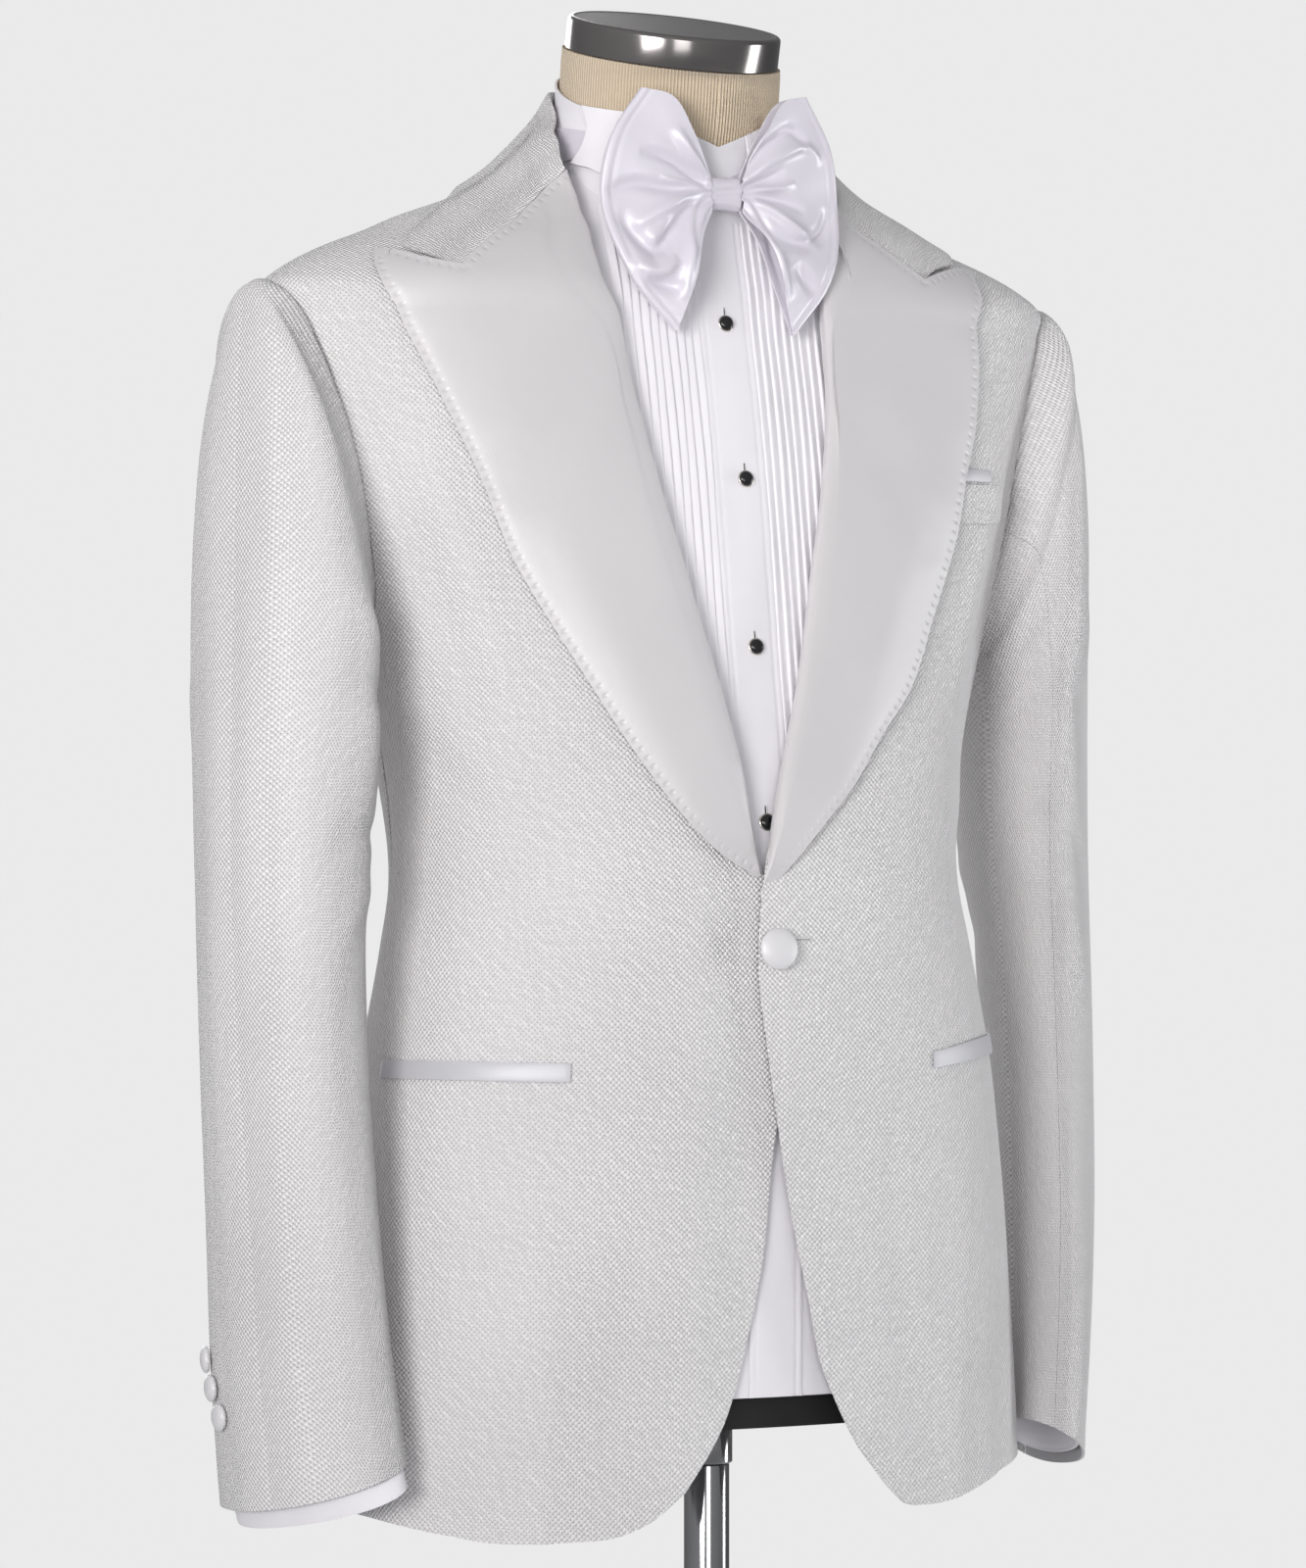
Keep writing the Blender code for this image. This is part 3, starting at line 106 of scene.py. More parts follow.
sky = bpy.data.worlds.new("sky")
bpy.context.scene.world = sky
sky.use_nodes = True
tree = sky.node_tree
backdrop, facing = tree.nodes["Background"], node(tree, "TexCoord").outputs["Generated"]
backdrop.inputs["Color"].default_value = (*BACKDROP, 1)
toward_key = node(tree, "VectorMath", {0: facing, 1: (-0.68, -0.62, 0.38)}, operation="DOT_PRODUCT")
brighter = node(tree, "MapRange", {0: toward_key.outputs["Value"], 1: -1.0, 2: 1.0, 3: SKY_STRENGTH * 0.40,
                                   4: SKY_STRENGTH * 1.60})
filler = node(tree, "Background", {"Color": (0.97, 0.98, 1.0, 1), "Strength": brighter.outputs[0]})
seen = node(tree, "LightPath").outputs["Is Camera Ray"]
choose = node(tree, "MixShader", {"Fac": seen, 1: filler.outputs[0], 2: backdrop.outputs[0]})
tree.links.new(choose.outputs[0], tree.nodes["World Output"].inputs["Surface"])
bpy.context.scene.view_settings.view_transform = "Standard"

bpy.ops.object.select_all(action="DESELECT")
bpy.ops.mesh.primitive_circle_add(vertices=96, radius=4.2, fill_type="NGON", location=(0, 0, 0))
floor = bpy.context.object
floor.name = "floor"
paint = bpy.data.materials.new("floor_paint")
paint.use_nodes = True
shader = paint.node_tree.nodes["Principled BSDF"]
shader.inputs["Base Color"].default_value, shader.inputs["Roughness"].default_value = (0.70, 0.70, 0.71, 1), 0.8
floor.data.materials.append(paint)

# %% [markdown]
# ## Curves through a few measured places
# A pattern cutter marks a few places and draws one smooth line through them. `smooth` does that with numbers,
# `run` walks along such a line in even steps, and `patch` fills the room between four lines with a grid.

# %% Curve helpers


def smooth(places, values, at):
    """A smooth curve through the values at the places, read at other places."""
    places, values, at = (np.asarray(a, float) for a in (places, values, at))
    slopes = np.gradient(values, places, axis=0)
    i = np.clip(np.searchsorted(places, at, side="right") - 1, 0, len(places) - 2)
    step = places[i + 1] - places[i]
    t = np.clip((at - places[i]) / step, 0, 1)
    if values.ndim > 1:
        more = (slice(None),) + (None,) * (values.ndim - 1)
        step, t = step[more] if step.ndim else step, t[more] if t.ndim else t
    return (
        values[i] * (2 * t**3 - 3 * t**2 + 1)
        + values[i + 1] * (3 * t**2 - 2 * t**3)
        + step * (slopes[i] * (t**3 - 2 * t**2 + t) + slopes[i + 1] * (t**3 - t**2))
    )


def run(rows, steps, ease=1.0):
    """Evenly spaced places on one smooth curve through the rows, or closer at its start if ease is over 1."""
    rows = np.array(rows, float)
    scale = np.ones(rows.shape[1])
    scale[0] = 0.003 if np.abs(rows[:, 0]).max() > 1.5 else 1.0
    along = lengths(rows * scale)
    fine = smooth(along, rows, np.linspace(0, along[-1], max(240, 10 * steps)))
    length = lengths(fine * scale)
    even = length[-1] * np.linspace(0, 1, steps + 1) ** ease
    return stack(*(np.interp(even, length, column) for column in fine.T))


def joined(*runs):
    """Runs end to end, each starting where the one before ends."""
    return np.concatenate([runs[0]] + [r[1:] for r in runs[1:]])


def patch(left, right, foot, head):
    """A grid of places between four edges: left and right go up, foot and head go from left to right."""
    v = np.linspace(0, 1, len(left))[:, None, None]
    u = np.linspace(0, 1, len(foot))[None, :, None]
    corners = (1 - u) * (1 - v) * foot[0] + u * (1 - v) * foot[-1] + (1 - u) * v * head[0] + u * v * head[-1]
    return (1 - u) * left[:, None] + u * right[:, None] + (1 - v) * foot[None] + v * head[None] - corners


def between(rows, steps):
    """Rows with more rows put in evenly between each two."""
    rows = np.asarray(rows, float)
    at = np.linspace(0, len(rows) - 1, (len(rows) - 1) * steps + 1)
    low = np.minimum(at.astype(int), len(rows) - 2)
    share = (at - low).reshape((-1,) + (1,) * (rows.ndim - 1))
    return rows[low] * (1 - share) + rows[low + 1] * share


def power(value, exponent):
    return np.sign(value) * np.abs(value) ** exponent


def hump(off, width):
    """A soft hump: 1 where off is 0, gone at about twice the width."""
    return np.exp(-((off / width) ** 2))


def ramp(value, over):
    """From 0 to 1 while the value goes from 0 to over."""
    return np.clip(value / over, 0, 1)


def lengths(points, axis=0):
    """How far along a line, or along the columns or rows of a grid, each point lies."""
    steps = np.linalg.norm(np.diff(points, axis=axis), axis=-1)
    return np.insert(np.cumsum(steps, axis=axis), 0, 0, axis=axis)


def nearest_on(line, spots):
    """How far each spot is from a line of points, and its nearest place there, counted in points."""
    nearest, at = np.full(spots.shape[:-1], 1e9), np.zeros(spots.shape[:-1])
    for k, (a, b) in enumerate(zip(line[:-1], line[1:])):
        t = np.clip(((spots - a) @ (b - a)) / max((b - a) @ (b - a), 1e-12), 0, 1)
        gap = np.linalg.norm(spots - (a + t[..., None] * (b - a)), axis=-1)
        nearest, at = np.minimum(nearest, gap), np.where(gap < nearest, k + t, at)
    return nearest, at


def read(table, at):
    """A table of (place, value) rows, read at other places."""
    return smooth(*np.array(table).T, at)


def stack(*parts):
    """Points from the grids or numbers that are their coordinates."""
    return np.stack(np.broadcast_arrays(*parts), axis=-1)


def unit(vectors):
    return vectors / np.maximum(np.linalg.norm(vectors, axis=-1, keepdims=True), 1e-12)


def sided(points, side):
    """Points made for the wearer's left, mirrored for the right."""
    return points * (np.array([-1, 1, 1]) if side == "r" else 1)


# %% [markdown]
# ## The torso that the cloth hangs on
# A dress form's cross-sections are rounded ovals that change with height. A table of a few of them gives one
# smooth surface, and a place on it is an angle from the front centre and a height. Every panel of the jacket and
# the shirt lies on this surface or a few millimetres off it, so that neighbouring pieces always meet.

# %% Torso surface
BODY_COLUMNS = ("height", "half_width", "front", "back", "widest", "roundness", "shirt", "form")
BODY = np.array((
    (0.700, 0.2015, -0.0880, 0.1660, 0.035, 0.88, 0.0090, 0.0170),
    (0.800, 0.1975, -0.0895, 0.1630, 0.035, 0.88, 0.0090, 0.0160),
    (0.900, 0.1900, -0.0905, 0.1580, 0.036, 0.88, 0.0092, 0.0155),
    (0.968, 0.1820, -0.0905, 0.1530, 0.037, 0.88, 0.0095, 0.0150),
    (1.030, 0.1700, -0.0870, 0.1500, 0.039, 0.88, 0.0094, 0.0150),
    (1.066, 0.1635, -0.0830, 0.1510, 0.041, 0.88, 0.0094, 0.0150),
    (1.120, 0.1665, -0.0755, 0.1580, 0.045, 0.86, 0.0094, 0.0150),
    (1.200, 0.1860, -0.0620, 0.1700, 0.052, 0.82, 0.0092, 0.0150),
    (1.280, 0.2120, -0.0480, 0.1770, 0.058, 0.80, 0.0095, 0.0190),
    (1.340, 0.2285, -0.0360, 0.1750, 0.060, 0.82, 0.0100, 0.0225),
    (1.375, 0.2360, -0.0280, 0.1660, 0.058, 0.86, 0.0105, 0.0245),
    (1.392, 0.2385, -0.0250, 0.1580, 0.057, 0.92, 0.0110, 0.0255),
    (1.402, 0.2265, -0.0225, 0.1530, 0.057, 1.00, 0.0115, 0.0260),
    (1.414, 0.2030, -0.0197, 0.1475, 0.058, 1.10, 0.0120, 0.0265),
    (1.423, 0.1800, -0.0183, 0.1435, 0.0585, 1.20, 0.0125, 0.0265),
    (1.430, 0.1640, -0.0175, 0.1405, 0.059, 1.27, 0.0135, 0.0250),
    (1.443, 0.1290, -0.0168, 0.1348, 0.058, 1.30, 0.0150, 0.0260),
    (1.455, 0.1050, -0.0175, 0.1310, 0.056, 1.20, 0.0175, 0.0240),
    (1.465, 0.0910, -0.0188, 0.1280, 0.0535, 1.10, 0.0190, 0.0240),
    (1.475, 0.0795, -0.0195, 0.1245, 0.0505, 1.03, 0.0190, 0.0240),
    (1.487, 0.0697, -0.0196, 0.1184, 0.0478, 1.00, 0.0080, 0.0240),
    (1.500, 0.0673, -0.0213, 0.1140, 0.0460, 1.00, 0.0031, 0.0240),
    (1.535, 0.0671, -0.0253, 0.1090, 0.0415, 1.00, 0.0027, 0.0240),
))
MIDDLE_DEPTH = {"shirt": 0.0070, "form": 0.0160}
SHIRT_REST = 0.0021


def read_body(name, height):
    return smooth(BODY[:, 0], BODY[:, BODY_COLUMNS.index(name)], height)


def bare_surface(angle, height):
    """Points on the torso surface, from angles in degrees and heights."""
    turn = np.radians(angle)
    widest, roundness = read_body("widest", height), read_body("roundness", height)
    ahead = np.cos(turn)
    reach = np.where(ahead > 0, widest - read_body("front", height), read_body("back", height) - widest)
    across = read_body("half_width", height) * power(np.sin(turn), roundness)
    return stack(across, widest - reach * power(ahead, roundness), height)


def surface_normal(places):
    angle, height = places[..., 0], places[..., 1]
    turned = bare_surface(angle + 0.7, height) - bare_surface(angle - 0.7, height)
    raised = bare_surface(angle, height + 0.0015) - bare_surface(angle, height - 0.0015)
    return unit(np.cross(turned, raised))


def surface(places, out=0.0):
    """Points a distance out from the torso surface."""
    places = np.asarray(places, float)
    return bare_surface(places[..., 0], places[..., 1]) + surface_normal(places) * np.asarray(out, float)[..., None]


def depth(name, places):
    """How deep the shirt or the form lies. The shirt comes up close along the shoulder seam."""
    angle, height = np.abs(places[..., 0]), places[..., 1]
    at_side = read_body(name, height)
    high = ramp(height - 1.20, 0.10)
    in_middle = at_side * (1 - high) + np.minimum(at_side, MIDDLE_DEPTH[name]) * high
    deep = in_middle + (at_side - in_middle) * np.sin(np.radians(angle)) ** 2
    if name == "form":
        return deep
    near = hump(angle - 92.5, 5)
    near = near * ramp(height - 1.375, 0.010) * ramp(1.440 - height, 0.012)
    return deep * (1 - near) + SHIRT_REST * near


def angle_at(x, height):
    """The angle of the front point that lies x to the side at a height."""
    share = np.clip(np.abs(x) / read_body("half_width", height), 0, 1)
    return np.degrees(np.sign(x) * np.arcsin(share ** (1 / read_body("roundness", height))))


def from_x(rows):
    rows = np.array(rows, float)
    return stack(angle_at(*rows.T), rows[:, 1])


print("torso rows:", len(BODY))

# %% [markdown]
# ## The cloth's grain
# A weave must keep its size wherever the cloth bends, so each point of a panel also gets its place on the flat
# cloth, in metres: how far round the body it lies, and how far up. Both are measured along the torso once, in a
# table, and read from it. The weave then runs on across the side seams, as well-matched tailoring does.

# %% Grain table
GRAIN_ANGLES = np.linspace(0, 180, 121)
GRAIN_HEIGHTS = np.linspace(0.70, 1.535, 168)
grain_points = bare_surface(*np.meshgrid(GRAIN_ANGLES, GRAIN_HEIGHTS))
grain_round, grain_up = lengths(grain_points, 1), lengths(grain_points)


def grain(places):
    """Places on the flat cloth, in metres, of places on the torso."""
    across = ramp(np.abs(places[..., 0]), 180) * (len(GRAIN_ANGLES) - 1)
    up = ramp(places[..., 1] - 0.70, 0.835) * (len(GRAIN_HEIGHTS) - 1)
    i, j = (np.minimum(v.astype(int), n - 2) for v, n in ((up, len(GRAIN_HEIGHTS)), (across, len(GRAIN_ANGLES))))
    a, b = up - i, across - j
    flat = stack(*(
        (t[i, j] * (1 - b) + t[i, j + 1] * b) * (1 - a) + (t[i + 1, j] * (1 - b) + t[i + 1, j + 1] * b) * a
        for t in (grain_round, grain_up)
    ))
    flat[..., 0] *= np.where(places[..., 0] < 0, -1, 1)
    return flat


def laid(places, out, side="l"):
    """Cloth a distance out from the torso: its points and their places on the flat cloth."""
    return np.concatenate([sided(surface(places, out), side), grain(places)], axis=-1)


print("chest girth:", round(2 * float(grain_round[100, -1]), 3), "m")

# %% [markdown]
# ## Creases
# Cloth that hangs still bends in long soft troughs and ridges. Each is given as a line of a few places, a
# width and a rise, or a negative rise for a trough. It fades towards its ends. A slow unevenness goes under
# them, because no two creases of real cloth are alike.

# %% Crease helpers


def creased(spots, lines):
    """The rise at each spot from soft creases: rows of (width, rise, places), with "end" before the places if
    it starts at full strength and fades only towards its end."""
    total = np.zeros(spots.shape[:-1])
    for width, rise, *fade, places in lines:
        rows = run(places, 14)
        nearest, at = nearest_on(rows, spots)
        along = at / (len(rows) - 1)
        strength = (1 - along) ** 0.8 if fade else np.sin(np.pi * along) ** 0.7
        total += rise * hump(nearest, width) * strength
    return total


def uneven(spots, size, amount, seed):
    """A slow random rise and fall, the same at each run."""
    rng = np.random.default_rng(seed)
    total = np.zeros(spots.shape[:-1])
    for _ in range(7):
        way, length = rng.uniform(0, 2 * np.pi), size * rng.uniform(0.6, 1.7)
        total += np.sin(2 * np.pi * (spots @ np.array([np.cos(way), np.sin(way)])) / length + rng.uniform(0, 6.28))
    return total * amount / 7


# %% [markdown]
# ## Sewing a grid into a piece of cloth
# A panel starts as a grid of points with their places on the flat cloth. Next to a seam the cloth dives a little,
# so two extra lines of points are laid beside each sewn edge and the edge itself is sunk. The grid becomes a mesh
# with a UV map called "cloth", and a Solidify modifier gives it the thickness of the real material. Its inner
# side gets the lining's finish.

# %% Cloth helpers
finishes = {}


def grid_normals(grid, closed):
    round_it = (np.roll(grid, -1, axis=1) - np.roll(grid, 1, axis=1)) if closed else np.gradient(grid, axis=1)
    return unit(np.cross(round_it, np.gradient(grid, axis=0)))


def tube_normals(tube):
    """The normals of a grid of rings, pointing out of the tube."""
    normal = grid_normals(tube, True)
    return normal * np.sign((normal * (tube - tube.mean(axis=1, keepdims=True))).sum())


def outward_sign(grid, closed, middle):
    """1 if the grid's normals point away from the middle, and -1 if they point to it."""
    return 1 if (grid_normals(grid, closed) * (grid - middle)).sum() > 0 else -1


TORSO_MIDDLE = np.array([0, 0.045, 1.15])


def closed_up(grid, closed):
    return np.concatenate([grid, grid[:, :1]], axis=1) if closed else grid


def flat_lengths(grid, closed=False):
    """Each point's place on the flat cloth, from the lengths along its row and its column."""
    ring = closed_up(grid, closed)
    across = lengths(ring, 1)
    across -= across[:, across.shape[1] // 2 : across.shape[1] // 2 + 1]
    return stack(across, lengths(ring))


def sewn(face, sides, sink=0.0006, reach=0.0022, middle=TORSO_MIDDLE):
    """The five-number grid with two more lines beside each edge named in sides, where it sinks into a seam."""
    for side in sides:
        axis, last = (1, side == "r") if side in "lr" else (0, side == "h")
        points = face[..., :3]
        normal = grid_normals(points, False) * outward_sign(points, False, middle)
        rows, normal = np.moveaxis(face, axis, 0), np.moveaxis(normal, axis, 0)
        if last:
            rows, normal = rows[::-1], normal[::-1]
        edge, inner = rows[0], rows[1]
        apart = np.maximum(np.linalg.norm((inner - edge)[..., :3], axis=-1, keepdims=True), 1e-6)
        lines = [edge.copy()] + [edge + (inner - edge) * np.minimum(r / apart, 0.85 * r / reach)
                                 for r in (reach * 0.35, reach)]
        lines[0][..., :3] -= normal[0] * sink
        lines[1][..., :3] -= normal[0] * sink * 0.4
        rows = np.concatenate([np.array(lines), rows[1:]])
        face = np.moveaxis(rows[::-1] if last else rows, 0, axis)
    return face


def trimmed(face, gap=0.0002, sides="lrfh"):
    """The grid with its edges drawn in, so that sewn pieces don't touch."""
    face = face.copy()
    for side, edge, inner in (
        ("l", np.s_[:, 0], np.s_[:, 1]), ("r", np.s_[:, -1], np.s_[:, -2]),
        ("f", np.s_[0], np.s_[1]), ("h", np.s_[-1], np.s_[-2]),
    ):
        if side in sides:
            inward = face[inner] - face[edge]
            face[edge] += inward * (gap / np.maximum(np.linalg.norm(inward[..., :3], axis=-1, keepdims=True), 1e-6))
    return face


def only(thing):
    """Selects one object and makes it active."""
    bpy.ops.object.select_all(action="DESELECT")
    thing.select_set(True)
    bpy.context.view_layer.objects.active = thing


def settle(thing):
    """Applies every modifier of the object."""
    only(thing)
    for name in [m.name for m in thing.modifiers]:
        bpy.ops.object.modifier_apply(modifier=name)


def mesh_of(name, points, faces, loop_maps=()):
    mesh = bpy.data.meshes.new(name)
    mesh.from_pydata(points.tolist(), [], faces.tolist())
    for map_name, values in loop_maps:
        layer = mesh.uv_layers.new(name=map_name)
        layer.data.foreach_set("uv", np.asarray(values, float).ravel())
    made = bpy.data.objects.new(name, mesh)
    bpy.context.scene.collection.objects.link(made)
    return made


def cells_of(rows, columns, closed):
    """The rows and the columns of the four corners of each cell in a grid."""
    r, c = (v.ravel() for v in np.indices((rows - 1, columns if closed else columns - 1)))
    return [(r, c), (r, c + 1), (r + 1, c + 1), (r + 1, c)]


def faces_of(corners, columns):
    return np.stack([i * columns + j % columns for i, j in corners], axis=1)


SLOTS = {"hopsack": "jacket_cloth", "poplin": "shirt_cloth", "piping_satin": "lapel_satin"}


def cloth(name, face, thick, finish, lining=None, closed=False, middle=TORSO_MIDDLE, edge_map=None):
    """The cloth of a CAD node from its outer face: a grid of x, y, z and maybe the place on the flat cloth."""
    points = face[..., :3]
    flat = flat_lengths(points, closed) if face.shape[-1] == 3 else face[..., 3:5]
    rows, columns = points.shape[:2]
    corners = cells_of(rows, columns, closed)
    if outward_sign(points, closed, middle) < 0:
        corners = corners[::-1]
    maps = {"cloth": flat} if edge_map is None else {"cloth": flat, "edge": edge_map}
    loops = [(key, np.stack([values[i, j] for i, j in corners], axis=1)) for key, values in maps.items()]
    made = mesh_of(name + "_cloth", points.reshape(-1, 3), faces_of(corners, columns), loops)
    made.data.materials.append(finishes[finish])
    made.data.materials.append(finishes[lining or finish])
    wall = made.modifiers.new("wall", "SOLIDIFY")
    wall.thickness, wall.offset, wall.use_even_offset = thick, -1, False
    wall.material_offset = 1
    settle(made)
    made.data.shade_smooth()
    made.data.set_sharp_from_angle(angle=math.radians(55))
    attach(made, "root")
    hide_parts(name)
    SLOTS.get(finish, finish)
    wide = float(np.linalg.norm(np.diff(closed_up(points, closed), axis=1), axis=-1).sum(axis=1).max())
    long = max(0.0101, float(np.linalg.norm(np.diff(points, axis=0), axis=-1).sum(axis=0).max()))
    return made


# %% [markdown]
# ## Finishes
# Each finish is a small node tree on the piece's own UV map or on Object coordinates, so that it stays with the
# cloth. A `Sum` wraps one number of the tree: writing `a * b + c` with it adds the Math nodes that work that out.

# %% Node helpers


class Sum:
    """A number that a node tree works out."""

    def __init__(self, tree, socket):
        self.tree, self.socket = tree, socket

    def calc(self, operation, other=0.0, clamp=False):
        other = other.socket if isinstance(other, Sum) else other
        made = node(self.tree, "Math", {0: self.socket, 1: other}, operation=operation, use_clamp=clamp)
        return Sum(self.tree, made.outputs[0])

    def __add__(self, other):
        return self.calc("ADD", other)

    def __sub__(self, other):
        return self.calc("SUBTRACT", other)

    def __mul__(self, other):
        return self.calc("MULTIPLY", other)

    def wave(self, pitch):
        """A sine wave, one period each pitch."""
        return (self * (2 * math.pi / pitch)).calc("SINE")

    def hump(self, middle, width):
        """1 at the middle, gone at about twice the width from it."""
        off = (self - middle).calc("DIVIDE", width)
        return Sum(self.tree, math.e).calc("POWER", off * off * -1.0)


def new_finish(name, colour, roughness, metallic=0.0, **sockets):
    made = bpy.data.materials.new(name)
    made.use_nodes = True
    shader = made.node_tree.nodes["Principled BSDF"]
    shader.inputs["Base Color"].default_value = (*colour, 1)
    shader.inputs["Roughness"].default_value = roughness
    shader.inputs["Metallic"].default_value = metallic
    for key, value in sockets.items():
        shader.inputs[key.replace("_", " ")].default_value = value
    finishes[name] = made
    return made.node_tree, shader


def tint(tree, shader, amount, low, high):
    """The base colour goes from low to high with the amount."""
    mixed = node(tree, "Mix", {"Factor": amount.socket, "A": (*low, 1), "B": (*high, 1)}, data_type="RGBA")
    tree.links.new(mixed.outputs["Result"], shader.inputs["Base Color"])


def bump(tree, shader, height, distance, under=None):
    """Relief from a height, on top of another relief if there is one under it."""
    made = node(tree, "Bump", {"Height": height.socket, "Distance": distance})
    if under is not None:
        tree.links.new(under, made.inputs["Normal"])
    tree.links.new(made.outputs[0], shader.inputs["Normal"])
    return made.outputs[0]


def noise(tree, scale, detail, place=None):
    """Soft random patches, on Object coordinates unless a place is given."""
    if place is None:
        place = node(tree, "TexCoord").outputs["Object"]
    return Sum(tree, node(tree, "TexNoise", {"Scale": scale, "Detail": detail, "Vector": place}).outputs["Fac"])


def split(tree, socket):
    return [Sum(tree, out) for out in node(tree, "SeparateXYZ", {0: socket}).outputs]


def cloth_place(tree, map_name="cloth"):
    """The two numbers of the piece's UV map, in metres."""
    return split(tree, node(tree, "UVMap", uv_map=map_name).outputs[0])[:2]


# %% [markdown]
# ### Jacket cloth
# The jacket is a hopsack: pairs of threads cross over and under each other, which leaves small raised cells in a
# slanting lattice. The product of two sine waves gives exactly that lattice, and finer waves across each cell
# give its threads. The hollows between cells are a little darker, because light doesn't reach into them.

# %% Jacket cloth
CELL = 0.00155


def hopsack(name, low, high, relief):
    tree, shader = new_finish(name, high, 0.82, Sheen_Weight=0.12, Sheen_Roughness=0.5)
    u, v = cloth_place(tree)
    nudge = (noise(tree, 190.0, 1.0, node(tree, "UVMap", uv_map="cloth").outputs[0]) - 0.5) * (CELL * 1.1)
    u, v = u + nudge, v - nudge
    cells = u.wave(CELL * 2) * v.wave(CELL * 2)
    threads = cells.calc("MAXIMUM") * u.wave(CELL / 2) + (cells * -1.0).calc("MAXIMUM") * v.wave(CELL / 2)
    height = cells * 0.8 + threads * 0.2
    shade = height * 0.42 + 0.62
    tint(tree, shader, shade.calc("ADD", (noise(tree, 9.0, 3.0) - 0.5) * 0.35, True), low, high)
    bump(tree, shader, height, relief)


hopsack("hopsack", (0.54, 0.522, 0.524), (1.0, 0.985, 0.985), 0.0007)
print("weave cell:", CELL * 1000, "mm")

# %% [markdown]
# ### Satin
# Satin floats its threads on one face, so it is smooth and throws back a broad soft shine that stretches along
# the cloth. The lapels' satin carries a second UV map, "edge": how far along the edge a point lies and how far
# from it. A tailor's pick stitches pull the satin down in a row of small dimples there.

# %% Satins
PICK_IN, PICK_PITCH = 0.0034, 0.0058


def satin(name, low, high, roughness, pick=False):
    tree, shader = new_finish(name, high, roughness, Anisotropic=0.35, Specular_IOR_Level=0.8, Sheen_Weight=0.15,
                              Sheen_Roughness=0.35)
    tint(tree, shader, noise(tree, 14.0, 2.5), low, high)
    u, v = cloth_place(tree)
    fine = bump(tree, shader, u.wave(0.0007) + v.wave(0.0019) * 0.35, 0.000012)
    soft = bump(tree, shader, noise(tree, 46.0, 2.0), 0.00035, fine)
    if pick:
        along, deep = cloth_place(tree, "edge")
        beat = (along * (math.pi / PICK_PITCH)).calc("COSINE").calc("ABSOLUTE").calc("POWER", 6.0)
        dimple = deep.hump(PICK_IN, 0.0016) * beat + deep.hump(PICK_IN, 0.0034) * 0.6
        bump(tree, shader, dimple * -1.0, 0.00034, soft)


satin("lapel_satin", (0.585, 0.567, 0.577), (0.65, 0.63, 0.637), 0.36, pick=True)
# painted shade: the welts' satin is the lapels' satin coloured darker and bluer, standing for the shade on the pocket
# welts
satin("piping_satin", (0.5, 0.496, 0.528), (0.565, 0.56, 0.59), 0.36)
satin("button_satin", (0.68, 0.668, 0.685), (0.76, 0.748, 0.762), 0.36)
satin("bow_satin", (0.64, 0.608, 0.68), (0.735, 0.706, 0.765), 0.27)
# painted shade: the lining satin is a dark grey so that the insides of the jacket and its sleeve openings look shaded
satin("lining_satin", (0.33, 0.32, 0.33), (0.42, 0.41, 0.42), 0.45)

# %% [markdown]
# ### Shirt poplin, jersey and thread
# The shirt is a fine plain weave, slightly cool next to the jacket. The form's cover is a ribbed jersey: its ribs
# run up the neck, and their count stays the same where the form widens, as in a knitted tube.

# %% Shirting, jersey, thread


def shirting(name, low, high):
    tree, shader = new_finish(name, high, 0.7, Sheen_Weight=0.08)
    u, v = cloth_place(tree)
    slow = noise(tree, 22.0, 3.0)
    tint(tree, shader, slow, low, high)
    fine = bump(tree, shader, u.wave(0.0006) * v.wave(0.0006), 0.00003)
    bump(tree, shader, slow, 0.0008, fine)


def jersey(name, low, high, rib_pitch):
    tree, shader = new_finish(name, high, 0.9, Sheen_Weight=0.25, Sheen_Roughness=0.6)
    u, v = cloth_place(tree)
    height = u.wave(rib_pitch) + v.wave(0.0011) * 0.25
    # painted shade: the hollows between the ribs are coloured darker; the noise adds random tone
    shade = height * 0.3 + noise(tree, 300.0, 2.0) * 0.25
    tint(tree, shader, shade.calc("ADD", 0.48, True), low, high)
    bump(tree, shader, height, 0.00035)


def plain_thread(name, low, high, pitch):
    """Twisted thread: a slanting wave on Object coordinates."""
    tree, shader = new_finish(name, high, 0.7, Sheen_Weight=0.1)
    x, y, z = split(tree, node(tree, "TexCoord").outputs["Object"])
    twist = (x + y + z).wave(pitch)
    # painted shade: the tint follows the twist's wave, so its grooves are coloured darker
    tint(tree, shader, twist * 0.5 + 0.5, low, high)
    bump(tree, shader, twist, 0.00008)


shirting("poplin", (0.8, 0.778, 0.818), (0.885, 0.865, 0.9))
jersey("ribbed_jersey", (0.48, 0.37, 0.245), (0.84, 0.69, 0.505), 0.0019)
plain_thread("white_thread", (0.7, 0.69, 0.69), (0.9, 0.89, 0.89), 0.0008)
print("finishes so far:", sorted(finishes))

# %% [markdown]
# ### Metal, enamel and the black band
# The neck cap is dark polished metal with a brushed top, the pole is brighter steel, and the studs are black
# enamel in a silver rim. Small smudges in the roughness keep them from looking new out of a computer.

# %% Hard finishes


def metal(name, colour, roughness, lines, spread=0.1, metallic=1.0):
    tree, shader = new_finish(name, colour, roughness, metallic)
    smudge = noise(tree, 30.0, 4.0)
    rough = ((smudge - 0.5) * spread).calc("ADD", roughness, True)
    tree.links.new(rough.socket, shader.inputs["Roughness"])
    tint(tree, shader, smudge, tuple(c * 0.85 for c in colour), tuple(min(1, c * 1.1) for c in colour))
    x, y, z = split(tree, node(tree, "TexCoord").outputs["Object"])
    radius = (x.calc("POWER", 2.0) + y.calc("POWER", 2.0)).calc("POWER", 0.5)
    bump(tree, shader, (radius + z * 0.37).wave(lines), 0.0000003)


